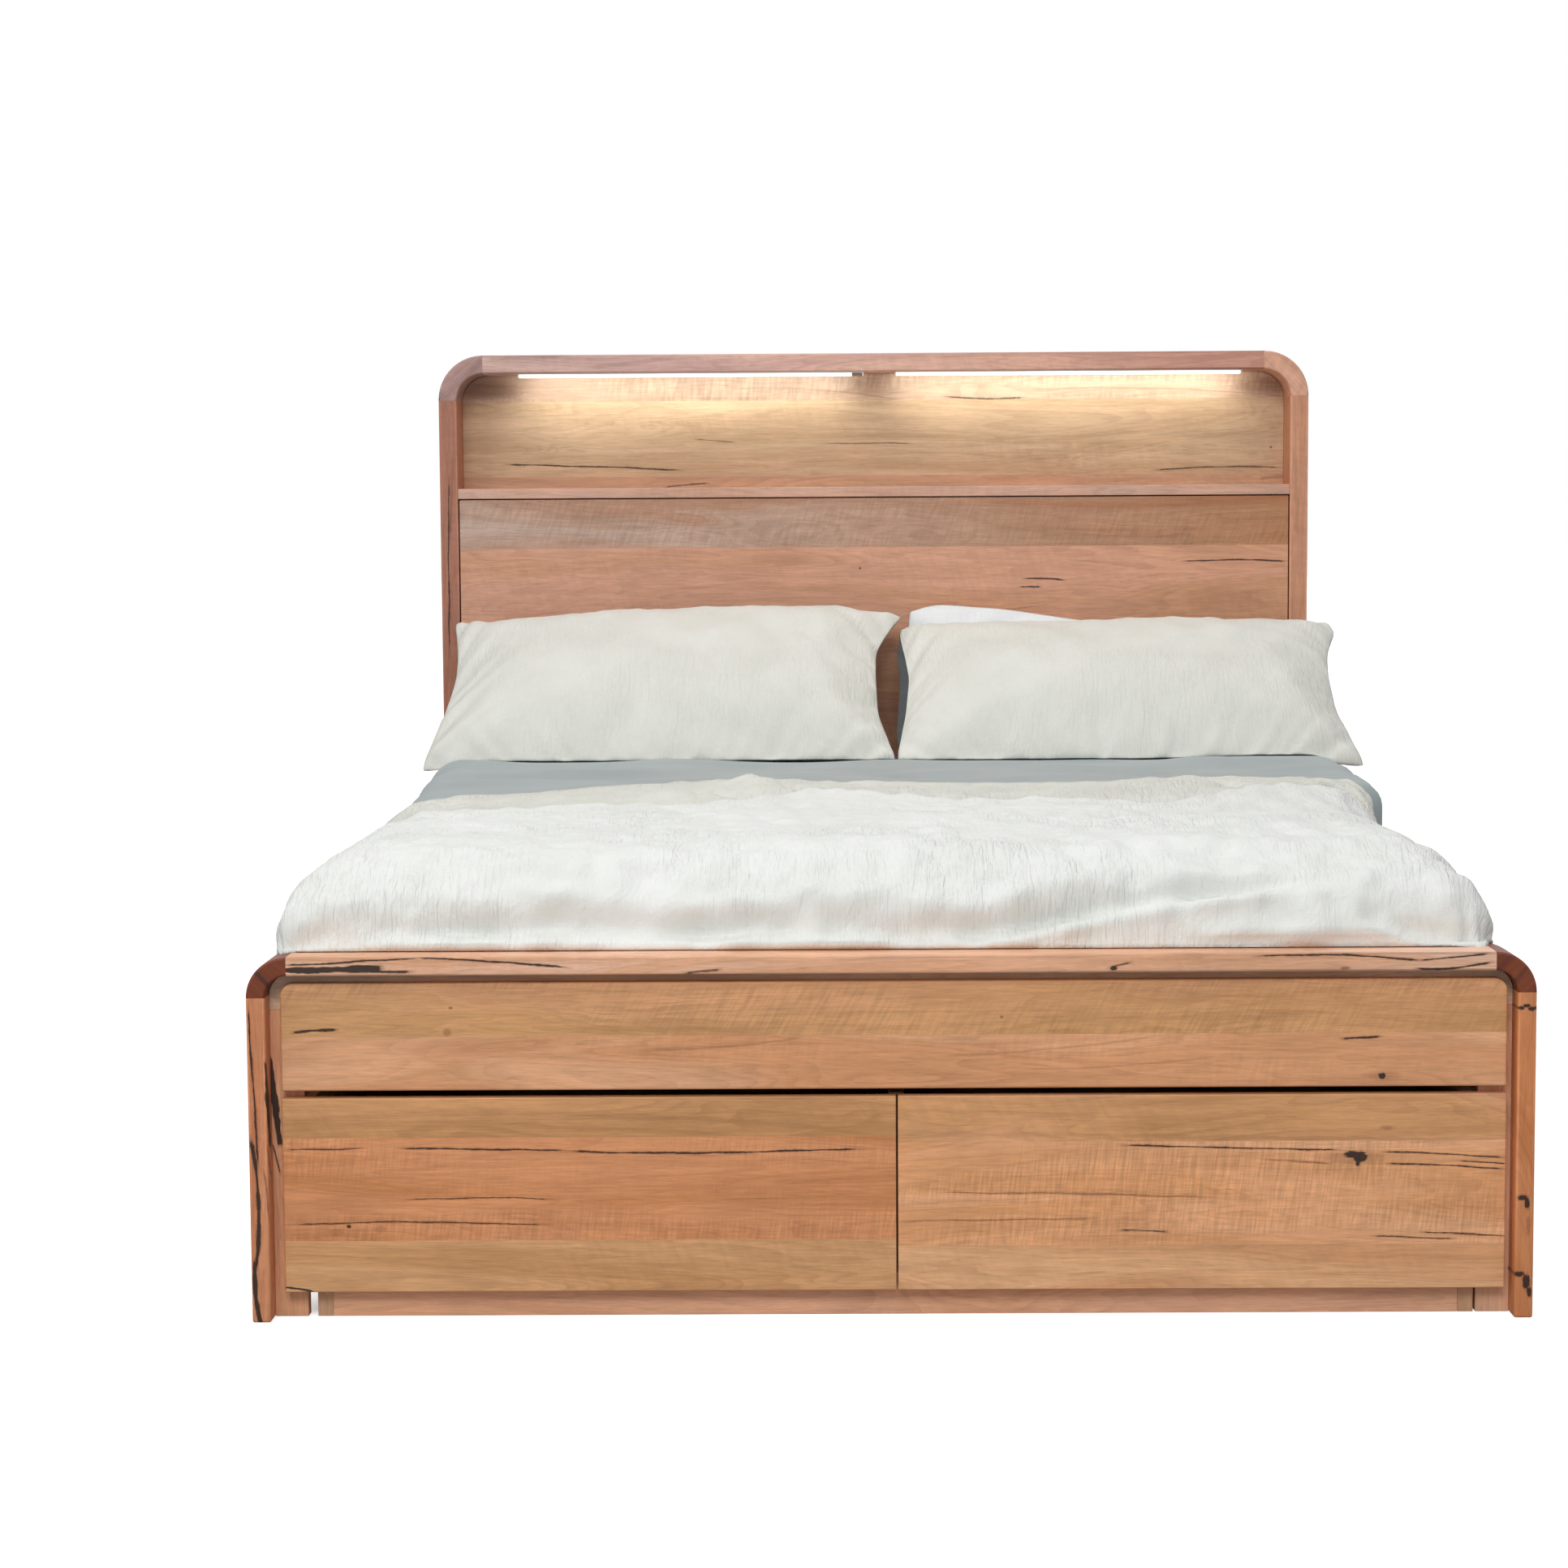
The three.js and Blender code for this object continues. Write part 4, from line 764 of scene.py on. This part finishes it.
def washed_linen(name, pale, shade, warp=0.0016, crumple=1.0):
    """Linen: two sets of threads with slubs on the cloth map, crumples, and uneven tone.

    The threads are drawn about twice as coarse as real ones so that they show.
    """
    material, put = blank(name)
    cloth = put("UVMap", uv_map="cloth").outputs["UV"]

    def stretched(scale, detail, **settings):
        """Noise at the given waves per metre across and along the cloth."""
        vector = put("VectorMath MULTIPLY", [cloth, scale])
        return put("TexNoise", {"Vector": vector, "Scale": 1, "Detail": detail, **settings})

    threads = {"Vector": cloth, "Scale": 0.314 / warp, "Distortion": 0.6, "Detail": 1}
    waves = [put(kind, threads) for kind in ("TexWave X", "TexWave Y")]
    weave = put("Math MULTIPLY", waves)
    slub = put("Math ADD", [stretched((40, 900, 1), 1), stretched((900, 40, 1), 1)])
    tone = put("Math MULTIPLY_ADD", [slub, 0.4, stretched((8, 8, 1), 4)])
    tone = put("MapRange", [tone, 0.65, 1.15, 0, 1])
    colour = put("MixRGB", [tone, linear(pale), linear(shade)])
    # Crumples 15 to 60 mm wide, and short creases along the cloth in patches
    soft = stretched((24, 16, 1), 5, Roughness=0.6, Distortion=0.8)
    creases = stretched((170, 24, 1), 2, Distortion=0.9)
    patch = put("MapRange", [stretched((3.4, 4.2, 1), 2), 0.42, 0.58, 0.08, 0.75])
    creases = put("Math MULTIPLY_ADD", [creases, patch, soft])
    folds = put("Bump", {"Strength": 0.7 * crumple, "Distance": 0.008, "Height": creases})
    relief = put("Math MULTIPLY_ADD", [slub, 0.6, weave])
    bump = put("Bump", {"Strength": 0.25, "Distance": 0.0005, "Height": relief, "Normal": folds})
    shader = put("BsdfPrincipled", {"Base Color": colour, "Roughness": 0.92, "Sheen Weight": 0.12,
                                    "Sheen Roughness": 0.6, "Specular IOR Level": 0.2, "Normal": bump})
    put("OutputMaterial", {"Surface": shader})
    return material


def wandering(value, places, amounts, spread):
    """Amounts given at some places, joined by lines and averaged over twice the spread."""
    steps = np.linspace(-spread, spread, 7)
    return sum(np.interp(value + step, places, amounts) for step in steps) / 7


def groove(x, y, start, end, width):
    """1 on the line from start to end, falling off as a bell across it and smoothly at its ends."""
    run = np.subtract(end, start)
    length = np.hypot(*run)
    part = ((x - start[0]) * run[0] + (y - start[1]) * run[1]) / length ** 2
    aside = ((x - start[0]) * run[1] - (y - start[1]) * run[0]) / length
    return bell(aside, 0, width) * ramp(part, -0.15, 0.2) * (1 - ramp(part, 0.8, 1.15))


duvet_top, duvet_half, hem_z, rail_top = 0.594, 0.797, 0.404, 0.4736
side_radius, foot_start, foot_end = 0.13, -0.93, np.radians(75)
tucked_y, edge_start, border_start, edge_end, fold_y = -1.0335, -0.27, -0.262, -0.254, 0.044
foot_drop_full = duvet_top - rail_top
foot_radius = foot_drop_full / (1 - np.cos(foot_end))
foot_contact = foot_start - foot_radius * np.sin(foot_end)
# Rows from the tucked foot to the head: place along the bed, and drop below the flat top
arc = np.linspace(foot_end, 0, 36)
flat_y = np.concatenate([np.arange(foot_start, edge_start, 0.0085)[1:],
                         np.linspace(edge_start, edge_end, 7)[1:], np.arange(-0.247, fold_y, 0.0075)])
end_turn = np.linspace(0, np.pi / 2, 6)[1:]
row_y = np.concatenate([np.full(4, tucked_y), np.linspace(tucked_y, foot_contact, 5)[1:-1],
                        foot_start - foot_radius * np.sin(arc), flat_y,
                        fold_y + 0.014 * np.sin(end_turn)])
row_drop = np.concatenate([np.linspace(0.165, foot_drop_full, 4), np.full(3, foot_drop_full),
                           foot_radius * (1 - np.cos(arc)), np.zeros(len(flat_y)),
                           0.016 * (1 - np.cos(end_turn))])
row_t = np.concatenate([[0], np.cumsum(np.hypot(np.diff(row_y), np.diff(row_drop)))]) - 1.2
span = np.linspace(-1, 1, 241)
U, Y = np.meshgrid(span, row_y)
T, foot_drop = np.broadcast_to(row_t[:, None], U.shape), np.broadcast_to(row_drop[:, None], U.shape)
# The side's round edge is broad, and tight at the right end of the turned-back border
at_foot = ramp(-Y, 0.96, 1.05)
edge = side_radius - (0.055 * ramp(Y, -0.45, -0.28) + 0.03 * ramp(Y, -0.22, -0.06)) * (U > 0)
edge -= 0.03 * at_foot
inward_left = np.interp(Y, (-0.8, -0.5, -0.3, -0.2, -0.1, 0.044), (0, 0.014, 0.018, 0.014, 0.006, 0))
inward_right = np.interp(Y, (-0.85, -0.5, -0.3, -0.15, 0.0), (0.005, 0.018, 0.005, -0.003, -0.008))
inward = np.where(U < 0, inward_left, inward_right)
half = duvet_half - inward - at_foot * np.where(U < 0, 0.019, 0.009)
S = U * (half + duvet_top - hem_z + edge * (np.pi / 2 - 2))
x, side_drop = over_edge(S, half, edge)
# Below the round edge the right side leans out again, clear of the mattress
x += (duvet_half + 0.004 - half) * ramp(side_drop, 0.05, 0.13) * (U > 0) * ramp(Y, -0.92, -0.80)
# The soft edge of the filled part wanders, and so does the border's fold: places along the bed
edge_s = (-0.80, -0.62, -0.54, -0.44, -0.26, -0.16, -0.10, -0.045, 0.03, 0.10, 0.19, 0.26, 0.37, 0.48,
          0.55, 0.62, 0.68, 0.73, 0.78, 0.84, 0.90, 1.0)
edge_y = (-0.40, -0.396, -0.40, -0.36, -0.345, -0.281, -0.208, -0.175, -0.193, -0.275, -0.33, -0.36,
          -0.35, -0.29, -0.17, -0.05, -0.01, -0.005, -0.03, -0.12, -0.26, -0.40)
wander = wandering(S, edge_s, edge_y, 0.03) - edge_start
border_part = np.clip((Y - edge_end) / 0.298, 0, 1)
share = np.where(Y < border_start, ramp(Y, -0.80, edge_start), 1 - border_part)
y = Y + wander * share - 0.28 * ramp(-x, 0.34, 0.78) * border_part
# Its far side drops steeply to the border, which climbs again to the fold at its end
deep = wandering(S, (-0.70, -0.55, -0.40, -0.30, -0.05, 0.10, 0.50, 0.60, 0.68, 0.76, 0.90),
                 (0.003, 0.015, 0.015, 0.010, 0.010, 0.019, 0.019, 0.007, 0.003, 0.003, 0.003), 0.03)
fold_rise = wandering(S, (-0.75, -0.60, -0.45, -0.30, -0.19, -0.08, 0.10, 0.35, 0.57, 0.70, 0.80),
                      (-0.004, 0, 0.003, 0.004, 0.012, 0.003, 0.002, 0.003, 0.012, 0.010, 0.006), 0.03)
onto = ramp(Y, edge_start, edge_end)
climb = 1 - (1 - border_part) ** 2.6
lift = 0.004 * ramp(Y, -0.42, -0.285) * (1 - onto) * (1 - ramp(np.abs(x), 0.55, 0.72))
lift += onto * (-deep + (deep + fold_rise) * climb)
crown = 0.006 * (1 - (x / duvet_half) ** 2) * (1 - foot_drop / foot_drop_full)
z = duvet_top + crown + lift - np.hypot(side_drop, foot_drop)
# Round the corners of the foot in plan over 55 mm, from a square to a disc
reach = 0.055
u = np.clip((np.abs(x) - duvet_half + reach) / reach, 0, 1)
v = np.clip((reach - 0.035 - 1.06 - y) / reach, 0, 1)
x -= np.sign(x) * reach * u * (1 - np.sqrt(1 - v * v / 2))
y += reach * v * (1 - np.sqrt(1 - u * u / 2))
rest = rail_top - 0.052 + np.sqrt(0.052 ** 2 - np.clip(np.abs(x - 0.011) - 0.768, 0, 0.045) ** 2)
on_rail = (y < -1.034) | ((foot_drop > 0.1) & (foot_drop < foot_drop_full + 0.002))
z = np.where(on_rail, np.maximum(z, rest), z)
# Folds: swells, and a hollow along the foot that climbs to the right as one long diagonal fold
height = 0.0026 * ripples(S, T, 5, 0.60, 0.22) + 0.0009 * ripples(S, T, 17, 0.06, 0.028, count=60)
height += 0.0012 * ripples(S, T, 19, 0.13, 0.06, squeeze=(1.6, 0.8), count=30)
foot_share = ramp(-Y, 0.78, 0.96)
height += 0.0030 * foot_share * ripples(S, T, 9, 0.16, 0.06, squeeze=(0.30, 1.0), count=26)
height += 0.0016 * (0.4 + 0.6 * foot_share) * ripples(S, T, 13, 0.12, 0.035, count=40)
hollow_t = wandering(S, (-0.74, -0.62, -0.40, 0.0, 0.05, 0.142, 0.215, 0.283, 0.36, 0.453, 0.60),
                     (-1.084, -1.072, -1.072, -1.078, -1.084, -1.080, -1.062, -1.048, -1.034, -1.021,
                      -1.008), 0.02)
hollow = wandering(S, (-0.76, -0.62, -0.20, 0.05, 0.20, 0.36, 0.50, 0.62),
                   (0, 0.018, 0.020, 0.017, 0.021, 0.018, 0.010, 0), 0.02)
hollow = hollow * (1 + 0.3 * ripples(S, T, 29, 0.20, 0.06, count=20))
height -= hollow * bell(T, hollow_t, 0.017 - 0.007 * ramp(S, 0.05, 0.25))
height += (0.5 * hollow * bell(T, hollow_t - 0.022, 0.010)
           + 0.45 * hollow * bell(T, hollow_t + 0.036, 0.024))
# Creases near the rail, pinches at the corners, and two creases across the border
for start, end, width, rise in [
    ((0.40, -1.099), (0.64, -1.095), 0.005, -0.010), ((0.42, -1.086), (0.62, -1.084), 0.008, 0.005),
    ((0.62, -1.078), (0.70, -1.106), 0.007, 0.008), ((0.66, -1.066), (0.72, -1.086), 0.010, -0.006),
    ((-0.745, -1.065), (-0.740, -1.095), 0.006, -0.005),
    ((0.715, -1.075), (0.722, -1.097), 0.007, -0.005),
]:
    height += rise * groove(S, T, start, end, width)
past_edge, before_fold = ramp(Y, border_start, -0.24), 1 - ramp(Y, 0.03, 0.05)
for start, end, width, rise in [
    ((-0.30, -0.13), (-0.15, -0.26), 0.010, -0.017), ((-0.158, 0.03), (-0.095, -0.19), 0.009, -0.017),
    ((-0.20, -0.02), (-0.16, -0.18), 0.030, 0.010), ((-0.36, -0.05), (-0.30, -0.20), 0.030, 0.005),
    ((0.50, 0.02), (0.60, -0.06), 0.012, -0.008), ((0.44, -0.10), (0.52, -0.02), 0.030, 0.006),
]:
    height += rise * groove(x, y, start, end, width) * past_edge * before_fold
settled = 1 - ramp(foot_drop, 0.113, foot_drop_full)
height *= np.where(Y > fold_y, 0.2, 1) * settled * (1 - 0.75 * ramp(side_drop, 0.1, 0.17))
points = np.stack([x - 0.011, y, np.maximum(z, hem_z)], -1)
linen_cover = washed_linen("washed linen duvet cover", "#eeefec", "#e5e7e2")
# The border's linen is creamier and darker than the top's: partly the cover's reverse, partly painted
# shade for the hollow behind the soft edge.
shaded_turned_back = washed_linen("washed linen duvet cover reverse in painted shade", "#e3e3db", "#d6d6cc")
duvet = cloth_grid("duvet_cover", points, np.stack([S, T], -1), linen_cover, height, 0.003)
# Inside the side rails the hem keeps clear of them
place = np.empty(points.size)
duvet.data.vertices.foreach_get("co", place)
place = place.reshape(-1, 3)
reach = 0.7945 + 0.06 * ramp(place[:, 2], 0.43, 0.50)
place[:, 0] = np.clip(place[:, 0], -reach, reach)
duvet.data.vertices.foreach_set("co", place.ravel())
duvet.data.materials.append(shaded_turned_back)
on_border = (Y[:-1, :-1] > border_start).ravel()
duvet.data.polygons.foreach_set("material_index", on_border.astype(int))
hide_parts("duvet")

# Grey sheet
# Cotton sateen laid over the head of the mattress, pushed up in front of the pillows.
sateen, put = blank("blue grey cotton sateen")
cloth = put("UVMap", uv_map="cloth").outputs["UV"]
slow = put("TexNoise", {"Vector": cloth, "Scale": 5, "Detail": 3})
fine = put("TexNoise", {"Vector": cloth, "Scale": 900, "Detail": 1})
tone = put("Math MULTIPLY_ADD", [fine, 0.3, slow])
tone = put("MapRange", [tone, 0.45, 0.85, 0, 1])
colour = put("MixRGB", [tone, linear("#a6afaf"), linear("#98a2a3")])
bump = put("Bump", {"Strength": 0.2, "Distance": 0.0003, "Height": fine})
shader = put("BsdfPrincipled", {"Base Color": colour, "Roughness": 0.7, "Sheen Weight": 0.2,
                                "Specular IOR Level": 0.35, "Normal": bump})
put("OutputMaterial", {"Surface": shader})


def sheet_form(x, y):
    """The sheet's rise over the mattress, half width and edge radius: 3 mm under the duvet, 14 mm
    past it, 27 mm at a crest in front of the pillows, 4 mm under them, where it lies close to
    the edge. Its right side is fuller than its left."""
    near = (1 - ramp(y, 0.560, 0.620)) * ramp(y + 0.26 * ramp(-x, 0.36, 0.80), 0.02, 0.07)
    rise = 0.002 + (0.012 + 0.013 * np.clip((y - 0.06) / 0.485, 0, 1)) * near
    fuller = ramp(x, 0.45, 0.72) * near
    tight = np.where(x > 0, 0.040, 0.085 - 0.025 * ramp(y, 0.10, 0.50))
    half = 0.768 + 0.018 * near + 0.029 * fuller
    return rise + 0.006 * fuller, half, 0.110 + (tight - 0.110) * near


def sheet_height(x, y):
    """The sheet's top: its rise less the fall of a quarter circle towards the mattress's side."""
    rise, half, radius = sheet_form(x, y)
    past = np.clip(np.abs(x) - half + radius, 0, radius)
    return mattress_top + 0.0003 + rise - radius + np.sqrt(radius ** 2 - past ** 2)


span, row_y = np.linspace(-1, 1, 181), np.arange(-0.30, 1.014, 0.0095)
U, T = np.meshgrid(span, row_y)
rise, half, radius = sheet_form(0.94 * U, T)
S = U * (half + mattress_top + rise - hem_z + radius * (np.pi / 2 - 2))
x, drop = over_edge(S, half, radius)
x -= np.sign(x) * np.maximum(half - 0.788, 0) * ramp(drop, 0.08, 0.15)
points = np.stack([x, T, np.maximum(mattress_top + 0.0003 + rise - drop, hem_z)], -1)
in_front = 1 - 0.9 * ramp(T, 0.60, 0.66)
height = 0.0026 * ripples(S, T, 23, 0.40, 0.13, squeeze=(0.7, 1.5)) * in_front
height = height * (1 - ramp(drop, 0.03, 0.12)) * ramp(T, 0.06, 0.14)
sheet = cloth_grid("grey_sheet_cloth", points, np.stack([S, T], -1), sateen, height, 0.0012)
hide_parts("grey_sheet")

# Pillows
# Each is a feather-filled case sewn from two flat rectangles, pale in front and blue grey
# behind, where the blue grey is darkened as painted shade. It is blown up flat by cloth
# simulation, and then laid in place: the front pair leans on the white rear pair.


def sewn_case(name, width, length, step, seed):
    """Two flat grids that share their rim, the upper raised and the lower sunk a little:
    height = 12 mm times (1 - u^4) times (1 - v^4), with a trace of unevenness."""
    columns, rows = int(round(width / step)), int(round(length / step))
    u, v = np.meshgrid(np.linspace(-1, 1, columns + 1), np.linspace(-1, 1, rows + 1))
    puff = (0.012 + 0.0016 * ripples(u, v, seed, 0.9, 0.25)) * (1 - u ** 4) * (1 - v ** 4)
    plan = np.stack([u * width / 2, v * length / 2], -1)
    inside = np.zeros(u.shape, bool)
    inside[1:-1, 1:-1] = True
    index = np.arange(u.size).reshape(u.shape)
    below = index.copy()
    below[inside] = u.size + np.arange(inside.sum())
    points = np.concatenate([np.dstack([plan, puff]).reshape(-1, 3), np.dstack([plan, -puff])[inside]])
    faces = np.concatenate([quads(index), quads(below)[:, [0, 3, 2, 1]]])
    flat = np.concatenate([plan.reshape(-1, 2), plan[inside] + (0, 2.0)])
    piece = mapped(name, points, faces, flat)
    piece.data.polygons.foreach_set("material_index", np.repeat([0, 1], len(faces) // 2))
    return piece, points


def blown_up(piece, pressure, frames):
    """Runs the cloth simulation under pressure without gravity, and returns the points."""
    cloth = piece.modifiers.new("case", "CLOTH")
    settings = cloth.settings
    for key, value in {"quality": 5, "mass": 0.2, "tension_stiffness": 25, "compression_stiffness": 25,
                       "shear_stiffness": 8, "bending_stiffness": 0.4, "use_pressure": True,
                       "uniform_pressure_force": pressure}.items():
        setattr(settings, key, value)
    settings.effector_weights.gravity = 0
    cloth.point_cache.frame_start = 1
    cloth.point_cache.frame_end = frames
    for number in range(1, frames + 1):
        scene.frame_set(number)
    grown = piece.evaluated_get(bpy.context.evaluated_depsgraph_get())
    points = np.empty(len(grown.data.vertices) * 3)
    grown.data.vertices.foreach_get("co", points)
    piece.modifiers.remove(cloth)
    scene.frame_set(1)
    return points.reshape(-1, 3)


def gathers(along, away, seed, reach):
    """Folds square to a seam: uneven waves along it, which spread and fade away from it."""
    waves = ripples(along / (1 + away / 0.25), 0 * along, seed, 0.075, 0.022, count=30)
    return waves * np.exp(-away / reach) * ramp(away, 0.0, 0.012)


def laid(points, width, length, crown, back, shift, foot, seam, slopes, outline, seed):
    """Bends the flat pillow over its lie and draws its outline.

    The slope changes evenly along its length, so the middle line is an arc, and the thickness
    stands square to it. The outline moves both side seams at heights from bottom to top, with
    the cube of the way across, and lifts the upper half by its rise from left to right. The
    reverse stands past the side seam that faces the other pillow. Gathers run from the seams.
    """
    sides, left, right, across, rise, inner = outline
    u, v = 2 * points[:, 0] / width, 2 * points[:, 1] / length
    away = np.minimum((1 - np.abs(u)) * width / 2, 1)
    below, above = (1 + v) * length / 2, (1 - v) * length / 2
    front = points[:, 2] > 0
    full = np.where(front, points[:, 2] / points[:, 2].max(), points[:, 2] / points[:, 2].min())
    thick = np.where(front, crown, -back) * np.maximum(full, 0) ** 0.8
    thick *= 1 + 0.36 * ramp(-v, -0.5, 0.6) * front
    folds = 0.0056 * gathers(points[:, 1] + 0.4 * (u < 0), away, seed, 0.055)
    folds += 0.0054 * gathers(points[:, 0], below, seed + 1, 0.040)
    folds += 0.0020 * gathers(points[:, 0], above, seed + 2, 0.03)
    swells = ripples(points[:, 0], points[:, 1], seed + 3, 0.26, 0.07)
    folds += 0.0026 * swells * (1 - u ** 4) * (1 - v ** 4)
    folds = np.clip(folds, -0.5 * np.abs(thick), 0.5 * np.abs(thick))
    thick += np.where(front, folds, -0.5 * folds)
    start, end = np.radians(slopes)
    bend = (end - start) / length
    slope = start + bend * below
    # Corners rounded in plan
    corner = np.clip(1 - away / 0.03, 0, 1) * np.clip(1 - np.minimum(below, above) / 0.03, 0, 1)
    x = points[:, 0] - np.sign(u) * 0.004 * corner + shift
    x += (wandering(v, sides, left, 0.1) * ((1 - u) / 2) ** 3
          + wandering(v, sides, right, 0.1) * ((1 + u) / 2) ** 3)
    past = (0.030 - 0.015 * inner) * (1 - v ** 4) * np.sin(np.pi * np.clip(away / 0.07, 0, 1))
    x += inner * np.where(front, 0, past) * (np.sign(u) == inner)
    up = wandering(u, across, rise, 0.05) * ramp(v, -0.3, 1.0)
    y = foot + (np.sin(slope) - np.sin(start)) / bend - thick * np.sin(slope)
    y -= np.sign(v) * 0.004 * corner
    droop = 0.012 * ramp(-inner * u, 0.70, 1) * (1 - ramp(v, -1, -0.4))
    z = seam + (np.cos(start) - np.cos(slope)) / bend + thick * np.cos(slope) + up - droop
    return np.stack([x, y, np.maximum(z, sheet_height(x, y) + 0.0008)], -1)


pillow_linen = washed_linen("washed linen pillow case", "#e5e5de", "#dbdbd2", crumple=0.6)
# The reverse is darker than its blue grey linen: painted shade for the strips of it that show beside the
# pillows.
shaded_pillow_reverse = washed_linen("blue grey linen pillow reverse in painted shade", "#4d5253", "#424749", crumple=0.6)
white_cotton = washed_linen("plain white cotton case", "#f6f8f9", "#edf0f1", warp=0.0010, crumple=0.6)
pale, white = (pillow_linen, shaded_pillow_reverse), (white_cotton, white_cotton)
heights = (-1, -0.8, -0.4, 0.1, 0.45, 0.85, 1)
widths = (-1, -0.85, -0.5, -0.1, 0.3, 0.75, 0.93, 1)
level_sides = heights, np.zeros(7), np.zeros(7), widths
for node, width, length, crown, back, shift, foot, seam, slopes, outline, materials, step, seed in [
    ("front_pillow_left", 0.830, 0.455, 0.072, 0.034, -0.376, 0.566, 0.595, (38, 26),
     (heights, (-0.0215, -0.012, 0.010, 0.022, 0.018, 0.006, -0.002),
      (0.002, -0.012, -0.034, -0.037, -0.036, -0.002, 0.023),
      widths, (0, 0.001, 0.013, 0.024, 0.028, 0.026, 0.010, 0.006), 1), pale, 0.009, 301),
    ("front_pillow_right", 0.812, 0.450, 0.072, 0.034, 0.450, 0.568, 0.595, (38, 26),
     (heights, (-0.014, -0.004, 0.010, 0.018, 0.012, 0.002, -0.001),
      (0.014, 0.000, -0.026, -0.027, -0.020, 0.007, -0.003),
      widths, (-0.012, -0.005, -0.001, -0.001, 0.006, -0.002, -0.004, -0.006), -1), pale, 0.009, 302),
    ("rear_pillow_left", 0.740, 0.400, 0.036, 0.040, -0.365, 0.700, 0.590, (8, 74),
     (*level_sides, np.zeros(8), 0), white, 0.014, 303),
    ("rear_pillow_right", 0.740, 0.420, 0.036, 0.040, 0.430, 0.700, 0.590, (8, 74),
     (*level_sides, (0.004, 0.020, 0.010, -0.012, -0.03, -0.04, -0.04, -0.04), 0), white, 0.014, 304),
]:
    piece, points = sewn_case(f"{node}_case", width, length, step, seed)
    # The air gives the thickness; the outline comes from the filling's own lie
    points[:, 2] = blown_up(piece, 4.0, 20)[:, 2]
    placed = laid(points, width, length, crown, back, shift, foot, seam, slopes, outline, seed)
    piece.data.vertices.foreach_set("co", placed.ravel())
    for material in materials:
        piece.data.materials.append(material)
    smooth = piece.modifiers.new("finer", "SUBSURF")
    smooth.levels = 1
    smooth.render_levels = 1
    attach(piece, "bed_frame")
    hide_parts(node)
